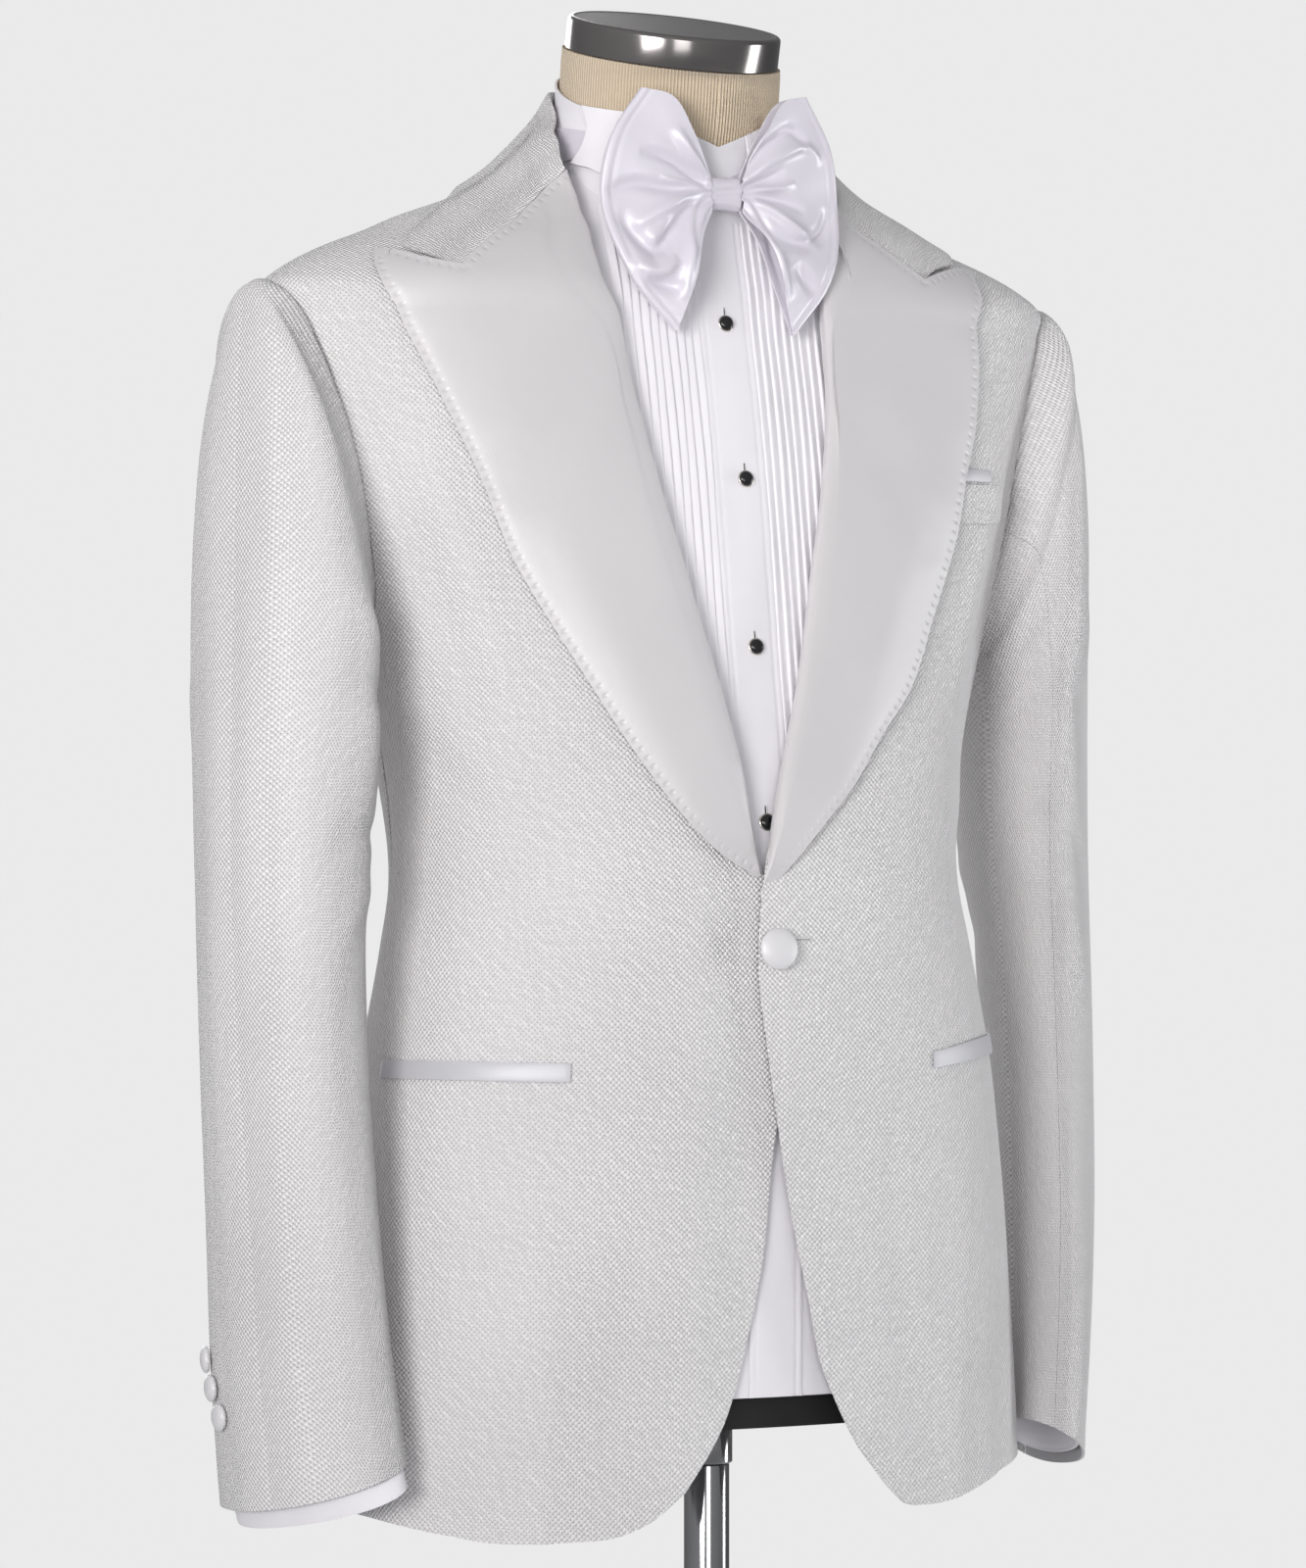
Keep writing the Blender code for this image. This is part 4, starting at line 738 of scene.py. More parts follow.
metal("dark_chrome", (0.26, 0.243, 0.238), 0.15, 0.0009, 0.05)
metal("cap_top", (0.3, 0.285, 0.29), 0.42, 0.0007, 0.08)
metal("pole_steel", (0.34, 0.34, 0.345), 0.12, 0.0011)
metal("base_steel", (0.52, 0.52, 0.53), 0.24, 0.0008)
metal("stud_silver", (0.8, 0.76, 0.7), 0.14, 0.0006, 0.05)
metal("black_enamel", (0.01, 0.01, 0.011), 0.06, 0.0005, 0.04, 0.0)
metal("black_band", (0.005, 0.004, 0.004), 0.6, 0.0012, 0.12, 0.0)
print("all finishes:", len(finishes))

# %% [markdown]
# ## The jacket's seams
# The armhole, the shoulder and the side seams are each worked out once. The panels on both sides of a seam read
# the same line, so that they always fit, and the sleeve is set into the very same armhole.

# %% Seam tables
SEAM_STEPS, RING, SHOULDER_STEPS, NECK_STEPS, BACK_NECK_STEPS = 8, 20, 7, 3, 5
FRONT_JOIN, TOP, BACK_JOIN = 1, 10, 18
CLOTH, SATIN, SHIRTING, UNDER_LAP = 0.0015, 0.0012, 0.0012, 0.0048
ARMHOLE = (
    (97, 1.197), (88, 1.201), (80, 1.218), (74, 1.250), (70.5, 1.285), (69.5, 1.318), (71.5, 1.352),
    (78, 1.381), (90, 1.3935), (100, 1.385), (107, 1.362), (111, 1.327), (113, 1.287), (113, 1.247),
    (110.5, 1.217), (104, 1.202),
)
JOIN_ROWS = ((88, 1.201), (90, 1.3935), (110.5, 1.217))
FRONT_SIDE_SEAM = ((97, 0.745), (99, 0.90), (101, 1.066), (95, 1.15))
BACK_SIDE_SEAM = ((132, 0.749), (132, 0.90), (133, 1.066), (123, 1.15))
BACK_HEM = 0.752
BACK_LEVELS = (1.245, 1.300, 1.345, 1.382, 1.412, 1.434, 1.451)
NECK_POINT = (95, 1.4705)
SHOULDER_SEAM = ((94, 1.452), (93, 1.4325), (92, 1.412))
BACK_NECK = ((180, 1.465), (140, 1.468))
FRONT_NECK = ((75, 1.4650), NECK_POINT)
HEM_DROP = {"l": 0.0, "r": -0.019}
EDGE_X = {
    "l": ((0.0486, 0.7599), (0.0405, 0.7724), (0.0325, 0.7874), (0.0246, 0.8045), (0.0157, 0.842),
          (0.0050, 0.888), (-0.0035, 0.937), (-0.0105, 0.985), (-0.0137, 1.0136), (-0.0115, 1.048),
          (-0.0064, 1.0756), (0.0050, 1.120), (0.0218, 1.1757), (0.0334, 1.223)),
    "r": ((0.0572, 0.7407), (0.0329, 0.7783), (0.0195, 0.820), (0.0106, 0.8624), (0.0052, 0.915),
          (-0.0030, 0.965), (-0.0085, 1.015), (-0.0060, 1.045), (0.0065, 1.0737), (0.0141, 1.110),
          (0.0269, 1.1732), (0.0390, 1.224)),
}
ROLL = {
    "l": ((6.5, 1.223), (9.1, 1.292), (10.5, 1.342), (10.9, 1.366), (13.6, 1.398), (20.0, 1.414),
          (29.0, 1.431), (38, 1.4440), (46, 1.4515), (52, 1.4556)),
    "r": ((7.9, 1.224), (10.48, 1.2893), (12.2, 1.3373), (14.9, 1.3856), (21.5, 1.4071), (35, 1.4322),
          (47, 1.4494), (52, 1.4556)),
}
HEMS = {
    "l": ((14.3, 0.7486), (17.7, 0.7358), (21.0, 0.7272), (25.9, 0.7255), (36, 0.7291), (47.5, 0.7358),
          (60, 0.7405), (78, 0.7440)),
    "r": ((19.5, 0.7255), (24, 0.7192), (34.5, 0.7160), (47, 0.7154), (61, 0.7195), (75, 0.7240)),
}


def armhole_places(fine):
    """The armhole's places from the underarm towards the front, fine times RING of them."""
    rows = ARMHOLE + ARMHOLE[:1]
    front_join, top, back_join = (ARMHOLE.index(row) for row in JOIN_ROWS)
    coarse = joined(
        run(rows[: front_join + 1], FRONT_JOIN * fine),
        run(rows[front_join : top + 1], (TOP - FRONT_JOIN) * fine),
        run(rows[top : back_join + 1], (BACK_JOIN - TOP) * fine),
        run(rows[back_join:], (RING - BACK_JOIN) * fine),
    )
    return coarse[:-1]


def shoulder_line(fine):
    return run((NECK_POINT, *SHOULDER_SEAM, (90, 1.3935)), SHOULDER_STEPS * fine)


def side_seam(rows, end, drop, fine):
    rows = [(a, h + drop * max(0, (0.9 - h) / 0.155)) for a, h in rows]
    return run((*rows, tuple(end)), SEAM_STEPS * fine)


def front_neck(side, fine):
    return run((ROLL[side][-1], *FRONT_NECK), NECK_STEPS * fine)


def back_neck(fine):
    return run((*BACK_NECK, NECK_POINT), BACK_NECK_STEPS * fine)


def under_lap(places):
    """The right front lies under the left one near the button."""
    x = bare_surface(places[..., 0], places[..., 1])[..., 0]
    near = ramp(0.055 - x, 0.035)
    low = ramp(1.13 - places[..., 1], 0.05)
    return -UNDER_LAP * (near * near * (3 - 2 * near)) * low


print("armhole girth:", round(float(np.linalg.norm(np.diff(surface(armhole_places(6)), axis=0), axis=1).sum()), 3), "m")

# %% [markdown]
# ## Jacket fronts, sides and backs
# The front is one panel from the cut-away edge to the side, with a long dart that shapes the waist. Hung on a
# form it is nearly smooth: a soft break runs down from the armhole, the button pulls faint lines across the
# waist, and the skirt below it waves a little. The dart is a narrow trough. The back has the same kinds of
# softness beside the shoulder blades and over the seat.

# %% Jacket body
BODY_CREASES = {
    "l": (
        (0.010, -0.0020, ((64, 1.335), (60, 1.270), (58, 1.200), (57, 1.140))),
        (0.009, 0.0018, ((52, 1.300), (49, 1.230), (47, 1.160))),
        (0.007, 0.0012, ((3, 1.034), (22, 1.046), (44, 1.070))),
        (0.007, -0.0012, ((4, 1.018), (26, 1.026), (52, 1.040))),
        (0.010, -0.0016, ((20, 0.955), (19, 0.890), (22, 0.810), (24, 0.745))),
        (0.012, 0.0020, "end", ((33, 0.728), (34, 0.800), (38, 0.880), (40, 0.940))),
        (0.011, -0.0018, "end", ((52, 0.730), (53, 0.800), (50, 0.900))),
        (0.014, 0.0016, "end", ((70, 0.735), (70, 0.820), (66, 0.930))),
        (0.010, 0.0015, ((78, 1.150), (66, 1.110), (50, 1.085))),
        (0.0016, -0.0007, ((44.2, 1.1725), (48.8, 1.0754), (42.4, 0.9769))),
    ),
    "r": (
        (0.010, -0.0022, ((63, 1.340), (60, 1.275), (58, 1.205), (58, 1.130))),
        (0.010, 0.0018, ((50, 1.310), (48, 1.240), (47, 1.165))),
        (0.007, 0.0010, ((4, 1.036), (24, 1.050), (46, 1.076))),
        (0.008, -0.0012, ((5, 1.016), (28, 1.024), (58, 1.040))),
        (0.012, -0.0016, ((22, 0.950), (23, 0.880), (26, 0.800), (27, 0.730))),
        (0.012, 0.0018, "end", ((38, 0.716), (38, 0.790), (41, 0.870), (44, 0.930))),
        (0.012, -0.0018, "end", ((57, 0.720), (57, 0.790), (53, 0.890))),
        (0.014, 0.0018, "end", ((74, 0.722), (74, 0.810), (70, 0.920))),
        (0.009, -0.0015, ((80, 1.155), (68, 1.120), (54, 1.100))),
        (0.0016, -0.0007, ((44.2, 1.1725), (48.8, 1.0754), (42.4, 0.9769))),
    ),
}
BACK_CREASES = {
    "l": (
        (0.013, -0.0026, ((117, 1.350), (124, 1.270), (128, 1.190), (131, 1.120))),
        (0.013, 0.0022, ((127, 1.330), (134, 1.250), (138, 1.170))),
        (0.011, -0.0018, ((176, 1.110), (158, 1.098), (140, 1.108))),
        (0.011, 0.0016, ((176, 1.078), (160, 1.066), (143, 1.074))),
        (0.013, 0.0022, "end", ((160, 0.752), (161, 0.840), (164, 0.950))),
        (0.013, -0.0022, "end", ((145, 0.752), (146, 0.840), (150, 0.940))),
        (0.009, -0.0012, ((176, 1.430), (160, 1.425), (140, 1.432))),
    ),
    "r": (
        (0.012, -0.0024, ((118, 1.340), (125, 1.262), (129, 1.180), (131, 1.110))),
        (0.014, 0.0022, ((129, 1.325), (136, 1.240), (139, 1.160))),
        (0.011, -0.0016, ((176, 1.118), (157, 1.104), (138, 1.116))),
        (0.012, 0.0018, ((176, 1.084), (158, 1.073), (142, 1.082))),
        (0.013, 0.0020, "end", ((156, 0.752), (158, 0.840), (161, 0.950))),
        (0.013, -0.0022, "end", ((142, 0.752), (144, 0.840), (149, 0.940))),
        (0.009, -0.0012, ((176, 1.424), (158, 1.430), (138, 1.436))),
    ),
}


def on_grain(lines):
    """The same crease lines, with their places on the flat cloth."""
    return [(*line[:-1], grain(np.array(line[-1], float))) for line in lines]


def body_lift(places, creases, seed):
    """How far the hung cloth stands off the plain torso surface."""
    spots = grain(places)
    calm = ramp(1.46 - places[..., 1], 0.05)
    return (creased(spots, on_grain(creases)) + uneven(spots, 0.16, 0.0010, seed)) * calm


def front_lift(side, places):
    lap = under_lap(places) if side == "r" else 0.0
    return body_lift(places, BODY_CREASES[side], 11 + "lr".index(side)) + lap


def body_panel(name, places, creases, seed, side, out=0.0, sides="lr"):
    face = laid(places, out + body_lift(places, creases, seed), side)
    cloth(name, sewn(trimmed(face), sides), CLOTH, "hopsack", "lining_satin")


def above_break(heights):
    """0 below the place where the lapel breaks, and 1 a little above it."""
    return ramp(heights - 1.085, 0.012)


def front_places(side, fine, wide):
    edge_low = from_x(run(EDGE_X[side], SEAM_STEPS * fine))
    edge = joined(edge_low, run(ROLL[side], (TOP - FRONT_JOIN - NECK_STEPS) * fine), front_neck(side, fine))
    armhole = armhole_places(fine)
    seam = side_seam(FRONT_SIDE_SEAM, armhole[FRONT_JOIN * fine], HEM_DROP[side], fine)
    outer = joined(seam, armhole[FRONT_JOIN * fine : TOP * fine + 1])
    foot = run(np.vstack([edge[0], HEMS[side], seam[0]]), SHOULDER_STEPS * wide, ease=1.25)
    return patch(edge, outer, foot, shoulder_line(wide))


def side_places(side, fine, wide):
    front, back = FRONT_JOIN * fine, BACK_JOIN * fine
    armhole = armhole_places(fine)
    front_seam = side_seam(FRONT_SIDE_SEAM, armhole[front], HEM_DROP[side], wide)
    back_seam = side_seam(BACK_SIDE_SEAM, armhole[back], HEM_DROP[side], wide)
    underarm = np.vstack([armhole[: front + 1][::-1], armhole[back:][::-1]])
    foot = run((tuple(front_seam[0]), tuple(back_seam[0])), len(underarm) - 1)
    return patch(front_seam, back_seam, foot, underarm)


def back_places(side, fine, wide):
    armhole = armhole_places(fine)
    seam = side_seam(BACK_SIDE_SEAM, armhole[BACK_JOIN * fine], HEM_DROP[side], fine)
    outer = joined(seam, armhole[TOP * fine : BACK_JOIN * fine + 1][::-1])
    head = joined(back_neck(wide), shoulder_line(wide))
    levels = between(np.concatenate([np.linspace(BACK_HEM, 1.19, SEAM_STEPS + 1), BACK_LEVELS, [1.465]]), fine)
    centre = stack(180, levels)
    foot = run((tuple(centre[0]), tuple(outer[0])), len(head) - 1)
    return patch(centre, outer, foot, head)


def edge_back(places, pull, columns=8):
    """The front with its edge drawn back above the break, where the lapel rolls round it."""
    way = places[:, columns] - places[:, 0]
    length = np.linalg.norm(grain(places[:, columns]) - grain(places[:, 0]), axis=-1)
    pull = pull * above_break(places[:, 0, 1]) / length
    fade = 1 - np.arange(columns) / columns
    places = places.copy()
    places[:, :columns] += (way * pull[:, None])[:, None] * fade[None, :, None]
    return places


for number, side in enumerate("lr"):
    places = front_places(side, 9, 15)
    lap = under_lap(places) if side == "r" else 0.0
    under_roll = above_break(places[..., 1]) * np.clip(1 - np.arange(places.shape[1]) / 12, 0, 1)
    body_panel(f"jacket_front_{side}", edge_back(places, 0.0032), BODY_CREASES[side], 11 + number, side,
               lap - 0.0018 * under_roll, "r")
    body_panel(f"jacket_side_{side}", side_places(side, 8, 10), (), 21 + number, side)
    body_panel(f"jacket_back_{side}", back_places(side, 7, 7), BACK_CREASES[side], 31 + number, side)

# %% [markdown]
# ## Lapels
# A lapel is the front's own edge folded back and faced with satin. It rolls over the crease line, bellies out a
# little and lies down again at its edge. The satin therefore starts inside the jacket, turns round the roll and
# lies on the front. Its second UV map, "edge", tells the satin's finish where the hand stitches go.

# %% Lapel tables and sheets
LAPEL_OUTER = {
    "l": ((-2.2, 1.0610), (7.3, 1.0954), (14.7, 1.120), (20.9, 1.1468), (27.3, 1.1697), (33.0, 1.2150),
          (36.5, 1.2560), (37.8, 1.2932), (39.3, 1.3142), (40.3, 1.3455), (41.5, 1.3850), (47.5, 1.400),
          (53.8, 1.4078)),
    "r": ((2.5, 1.0700), (10.5, 1.0855), (22.8, 1.1321), (31.0, 1.1826), (38.4, 1.2413), (40.2, 1.2800),
          (43.0, 1.3140), (48.6, 1.3620), (52.7, 1.3895), (57.5, 1.3995), (61.0, 1.4062)),
}
LAPEL_ROLL_X = {
    "l": ((-0.0100, 1.0600), (-0.0064, 1.0756), (0.0050, 1.120), (0.0218, 1.1757), (0.0334, 1.223)),
    "r": ((0.0078, 1.0710), (0.0141, 1.110), (0.0269, 1.1732), (0.0390, 1.224)),
}
GORGE = {
    "l": ((52, 1.4556), (49.5, 1.4495), (44.5, 1.4420), (37.6, 1.4321), (34.8, 1.4185), (33.6, 1.4094),
          (33.4, 1.3995)),
    "r": ((52, 1.4556), (50.4, 1.4452), (46.4, 1.4346), (44.4, 1.4272), (42.2, 1.419), (41.2, 1.4103),
          (39.8, 1.3970)),
}
PEAK_TOP = {"l": ((33.4, 1.3995), (39.4, 1.4035), (47, 1.4070), (53.8, 1.4078)),
            "r": ((39.8, 1.3970), (48.2, 1.4008), (55, 1.4045), (61.0, 1.4062))}
LAPEL_LIFT = ((0.0, 0.0012), (0.06, 0.0026), (0.15, 0.0036), (0.5, 0.0047), (0.9, 0.0040), (1.0, 0.0034))
LAPEL_CREASES = {
    "l": ((0.016, 0.0012, ((10, 1.120), (20, 1.200), (26, 1.290))),
          (0.014, -0.0010, ((14, 1.330), (22, 1.280), (30, 1.240)))),
    "r": ((0.016, 0.0014, ((14, 1.110), (22, 1.180), (30, 1.270))),
          (0.014, -0.0008, ((18, 1.340), (28, 1.300), (38, 1.270)))),
}


def edge_distance(points, line):
    """How far along a line, and how far from it, each point of a grid lies."""
    nearest, at = nearest_on(line, points)
    return stack(np.interp(at, np.arange(len(line)), lengths(line)), nearest)


def lapel_places(side, fine, wide):
    inner = joined(from_x(run(LAPEL_ROLL_X[side], 6 * fine)), run(ROLL[side], 9 * fine))
    outer = run(LAPEL_OUTER[side], 15 * fine)
    head = joined(run(GORGE[side], 5 * wide), run(PEAK_TOP[side], 3 * wide))
    inner[-1], outer[-1] = head[0], head[-1]
    return patch(inner, outer, np.linspace(inner[0], outer[0], len(head)), head)


for side in "lr":
    places = lapel_places(side, 11, 9)
    across = np.linspace(0, 1, places.shape[1])
    lift = read(LAPEL_LIFT, across)
    lift = 0.0007 + (lift - 0.0007) * ramp(places[..., 1] - 1.060, 0.035)
    lift += creased(grain(places), on_grain(LAPEL_CREASES[side])) * np.clip(across * 5, 0, 1)
    dive = 0.0034 * ramp(1.078 - places[..., 1], 0.013) ** 1.5
    points = surface(places, front_lift(side, places) + lift + SATIN - dive)
    # the roll: a half turn from the satin's top round the front's edge to its inner side
    normal = surface_normal(places[:, :1])
    way = unit(points[:, 12:13] - points[:, :1])
    points = points + way * 0.0010 * (1 - across[..., None]) ** 3
    open_up = np.clip((places[:, :1, 1:] - 1.062) / 0.035, 0.12, 1)
    half = 0.5 * (lift[:, :1, None] + SATIN + CLOTH + 0.0010) * open_up
    centre = points[:, :1] - normal * half
    roll = [centre + normal * half * np.cos(s) - way * 0.0014 * open_up * np.sin(s)
            for s in np.linspace(np.pi, 0, 9)[:-1]]
    tail = [centre - normal * half + way * d * open_up for d in (0.005, 0.0025)]
    whole = sided(np.concatenate(tail + roll + [points], axis=1), side)
    rim = np.concatenate([sided(points[:, -1], side)[:-1], sided(points[-1], side)[::-1]])
    stitches = edge_distance(whole, rim)
    stitches[..., 1] += 0.02 * (np.linalg.norm(whole - sided(points[-1:, -1:], side), axis=-1) < 0.009)
    cloth(f"lapel_{side}", whole, 0.0010, "lapel_satin", edge_map=stitches)

# %% [markdown]
# ## Collar
# The collar has a stand that hides against the neck and a leaf that folds down over it. In front the leaf ends
# in a notch above the lapel's peak. It is cut from the jacket's own cloth.

# %% Collar
COLLAR_START = (53.2, 1.4562)
COLLAR_FOLD = ((67.8, 1.4705), (87.6, 1.4838), (98.5, 1.4950), (112, 1.5025), (145, 1.5080), (180, 1.5090))
COLLAR_FRONT = {"l": ((41, 1.4064), (50.5, 1.4108)), "r": ((48.2, 1.4034), (56.2, 1.4084))}
COLLAR_EDGE = ((63.7, 1.4224), (70, 1.4333), (82.4, 1.4425), (100, 1.4470), (145, 1.4450), (180, 1.4440))
COLLAR_BELLY, COLLAR_EDGE_OUT, COLLAR_FOLD_OUT = 0.0038, 0.0040, 0.0016
STAND_OUT, STAND_GAP = -0.0010, 0.0007


def collar_places(side, fine, wide):
    """Half the collar's leaf from the front end to the centre back, with its distance out."""
    gorge = run(GORGE[side], 5 * wide)
    start = gorge[-1] + np.array([0.5, 0.0005])
    edge = joined(run(np.vstack([start, COLLAR_FRONT[side]]), 3 * fine),
                  run((COLLAR_FRONT[side][1], *COLLAR_EDGE), 9 * fine))
    fold = run((COLLAR_START, *COLLAR_FOLD), len(edge) - 1)
    back = run(np.vstack([fold[-1], edge[-1]]), 5 * wide)
    share = np.linspace(0, 1, len(gorge))[:, None]
    front = gorge + share * (start - gorge[-1]) + (1 - share) * (fold[0] - gorge[0])
    leaf = patch(fold, edge, front, back)
    across = np.linspace(0, 1, leaf.shape[1])[None, :]
    along = np.linspace(0, 1, leaf.shape[0])[:, None]
    out = COLLAR_FOLD_OUT + (COLLAR_EDGE_OUT - COLLAR_FOLD_OUT) * np.minimum(1, across * 4)
    return leaf, out + COLLAR_BELLY * 4 * across * (1 - across) * np.clip(along * 4, 0.15, 1)


def collar_stand(side, fold, out):
    """One face of the stand, from the seam on the jacket's own neckline to just under the fold."""
    line = joined(front_neck(side, 1), back_neck(1)[::-1])
    places = stack(fold[:, 0], np.interp(fold[:, 0], line[:, 0], line[:, 1]))
    seam = surface(line, out)
    foot = stack(*(np.interp(fold[:, 0], line[:, 0], column) for column in seam.T))
    foot += STAND_GAP * unit(surface(places + np.array([0, 0.002]), out) - surface(places, out))
    top = stack(fold[:, 0], np.maximum(fold[:, 1] - 0.0022, places[:, 1] + 0.0012))
    return np.stack([foot, surface(top, out)], axis=1)


halves = {}
for side in "lr":
    leaf, out = collar_places(side, 8, 5)
    stand = collar_stand(side, leaf[:, 0], STAND_OUT - CLOTH)
    fold = surface(leaf[:, :1], -0.0003)
    fold[..., 2] += 0.0012
    lip = surface(leaf[:, :1], 0.0010)
    lip[..., 2] += 0.0009
    low = [stand[:, :1] * (1 - t) + stand[:, 1:] * t for t in (0, 0.25, 0.5, 0.75, 1)]
    half = np.concatenate(low + [fold, lip, surface(leaf[:, 1:], out[:, 1:])], axis=1)
    halves[side] = sided(half, side)
whole = np.concatenate([halves["r"], halves["l"][::-1][1:]])
whole = trimmed(whole, -0.0007, "fh")
flat = flat_lengths(np.swapaxes(whole, 0, 1))
face = np.concatenate([whole, np.swapaxes(flat, 0, 1)], axis=-1)
cloth("jacket_collar", face, CLOTH, "hopsack")

# %% [markdown]
# ## Sleeves
# A jacket sleeve is two pieces: a top sleeve that is eased into the armhole, so that it swells over the seam,
# and an under sleeve. It hangs with a slight forward bend. The cloth breaks in slanting troughs at the elbow and
# below the armhole, and the hem is a clean turned edge.

# %% Sleeve table and rings
SLEEVE_COLUMNS = ("outer_x", "outer_z", "inner_x", "inner_z", "middle_y", "half_depth", "turn", "pitch")
SLEEVE = np.array((
    (0.2495, 1.3900, 0.1930, 1.1900, 0.0585, 0.0580, 3, 0),
    (0.2540, 1.3660, 0.1955, 1.1800, 0.0568, 0.0675, 5, 0),
    (0.2573, 1.3290, 0.1985, 1.1620, 0.0548, 0.0745, 7, 0),
    (0.2600, 1.2700, 0.1995, 1.1360, 0.0528, 0.0780, 8, 1),
    (0.2615, 1.2050, 0.2005, 1.1060, 0.0523, 0.0765, 9, 2),
    (0.2625, 1.1350, 0.2035, 1.0760, 0.0522, 0.0710, 10, 3),
    (0.2628, 1.0600, 0.2085, 1.0310, 0.0500, 0.0660, 11, 4),
    (0.2618, 0.9700, 0.2100, 0.9590, 0.0430, 0.0650, 12, 5),
    (0.2590, 0.8800, 0.2085, 0.8790, 0.0345, 0.0660, 13, 6),
    (0.2560, 0.8070, 0.2065, 0.8160, 0.0285, 0.0670, 15, 8),
    (0.2500, 0.7310, 0.2035, 0.7575, 0.0232, 0.0685, 17, 9),
))
LAST_RING, HEAD_REACH = len(SLEEVE) - 1, 0.55
UNDER_FRONT, UNDER_BACK = 4, 14


def read_sleeve(name, at):
    return smooth(np.arange(len(SLEEVE)), SLEEVE[:, SLEEVE_COLUMNS.index(name)], at)


def sleeve_ring(at, steps, inset=0.0):
    """One ring of the left sleeve, from the underarm towards the front. at counts the table's rows."""
    outer = np.array([read_sleeve("outer_x", at), 0, read_sleeve("outer_z", at)])
    inner = np.array([read_sleeve("inner_x", at), 0, read_sleeve("inner_z", at)])
    middle = (outer + inner) / 2 + np.array([0, float(read_sleeve("middle_y", at)), 0])
    half = (outer - inner) / 2
    half = half * (1 - inset / np.linalg.norm(half))
    turn, pitch = np.radians(read_sleeve("turn", at)), np.radians(read_sleeve("pitch", at))
    ahead = np.array([-math.sin(turn), -math.cos(turn) * math.cos(pitch), math.sin(pitch)])
    deep = float(read_sleeve("half_depth", at)) - inset
    swing = np.linspace(0, 2 * math.pi, steps, endpoint=False)
    return middle - power(np.cos(swing), 0.92)[:, None] * half + power(np.sin(swing), 0.92)[:, None] * ahead * deep


def sleeve_tube(rows, fine):
    """Rings from the armhole's own points down to the hem, as smooth as cloth eased into the seam."""
    first = surface(armhole_places(fine), -0.0008)
    table = [first - 0.0008 * unit(sleeve_ring(0, RING * fine) - first)]
    table += [sleeve_ring(at, RING * fine) for at in range(len(SLEEVE))]
    reach = np.concatenate([[0], np.arange(len(SLEEVE)) + HEAD_REACH])
    return smooth(reach, np.array(table), np.linspace(0, reach[-1], rows))


SLEEVE_CREASES = {       # places are (share of the way round from the underarm, share of the length)
    "r": (
        (0.012, -0.0030, ((0.10, 0.30), (0.20, 0.36), (0.31, 0.47), (0.36, 0.58))),
        (0.012, 0.0026, ((0.14, 0.24), (0.26, 0.33), (0.38, 0.46))),
        (0.010, -0.0026, ((0.06, 0.50), (0.16, 0.52), (0.28, 0.57), (0.36, 0.66))),
        (0.011, 0.0022, ((0.08, 0.57), (0.20, 0.60), (0.34, 0.70))),
        (0.013, 0.0020, ((0.44, 0.22), (0.42, 0.42), (0.40, 0.62), (0.43, 0.80))),
        (0.012, -0.0018, ((0.52, 0.30), (0.50, 0.50), (0.52, 0.72))),
        (0.012, -0.0020, ((0.70, 0.34), (0.78, 0.42), (0.90, 0.48))),
        (0.012, 0.0020, ((0.64, 0.44), (0.76, 0.52), (0.92, 0.57))),
        (0.011, -0.0020, ((0.66, 0.60), (0.78, 0.62), (0.94, 0.60))),
        (0.012, 0.0014, "end", ((0.30, 1.00), (0.30, 0.90), (0.33, 0.78))),
    ),
    "l": (
        (0.012, -0.0026, ((0.10, 0.28), (0.19, 0.35), (0.29, 0.44), (0.35, 0.56))),
        (0.012, 0.0024, ((0.13, 0.22), (0.25, 0.31), (0.37, 0.44))),
        (0.010, -0.0022, ((0.05, 0.48), (0.17, 0.51), (0.28, 0.56), (0.35, 0.64))),
        (0.011, 0.0020, ((0.09, 0.55), (0.21, 0.59), (0.33, 0.68))),
        (0.013, 0.0018, ((0.45, 0.24), (0.43, 0.44), (0.41, 0.64), (0.44, 0.82))),
        (0.012, -0.0016, ((0.53, 0.32), (0.51, 0.52), (0.53, 0.74))),
        (0.012, -0.0022, ((0.71, 0.36), (0.79, 0.43), (0.91, 0.47))),
        (0.012, 0.0020, ((0.65, 0.46), (0.77, 0.53), (0.93, 0.56))),
        (0.011, -0.0018, ((0.67, 0.62), (0.79, 0.63), (0.95, 0.61))),
        (0.012, 0.0014, "end", ((0.28, 1.00), (0.29, 0.90), (0.32, 0.80))),
    ),
}
SLEEVE_FINE, SLEEVE_ROWS = 8, 150
GIRTH, LONG, WEAVE_GIRTH = 0.46, 0.66, 0.42


def sleeve_lift(side, share):
    """How far the sleeve's cloth stands off its plain tube, at shares of the way round and along."""
    size = np.array([GIRTH, LONG])
    lift = creased(share * size, [(*line[:-1], np.array(line[-1]) * size) for line in SLEEVE_CREASES[side]])
    about, along = share[..., 0], share[..., 1]
    turn = about * 2 * np.pi
    lift += 0.0009 * np.sin(turn * 3 + along * 9) * np.sin(np.pi * along) + 0.0006 * np.sin(turn * 5 - along * 14)
    # the head swells over the armhole seam, and its fullness shows as very soft flutes
    crown = np.clip(1 - np.abs(about - 0.5) / 0.30, 0, 1)
    lift += hump(along - 0.028, 0.020) * (0.0018 * crown**0.6 + 0.0004 * np.sin(turn * 21) * crown)
    chest = ramp(about - 0.10, 0.08) * ramp(0.50 - about, 0.10)
    lift += chest * (0.0019 * hump(along - 0.014, 0.010) - 0.0014 * hump(along - 0.052, 0.020))
    return lift * ramp(along, 0.012) * np.clip((1 - along) / 0.01, 0.6, 1)


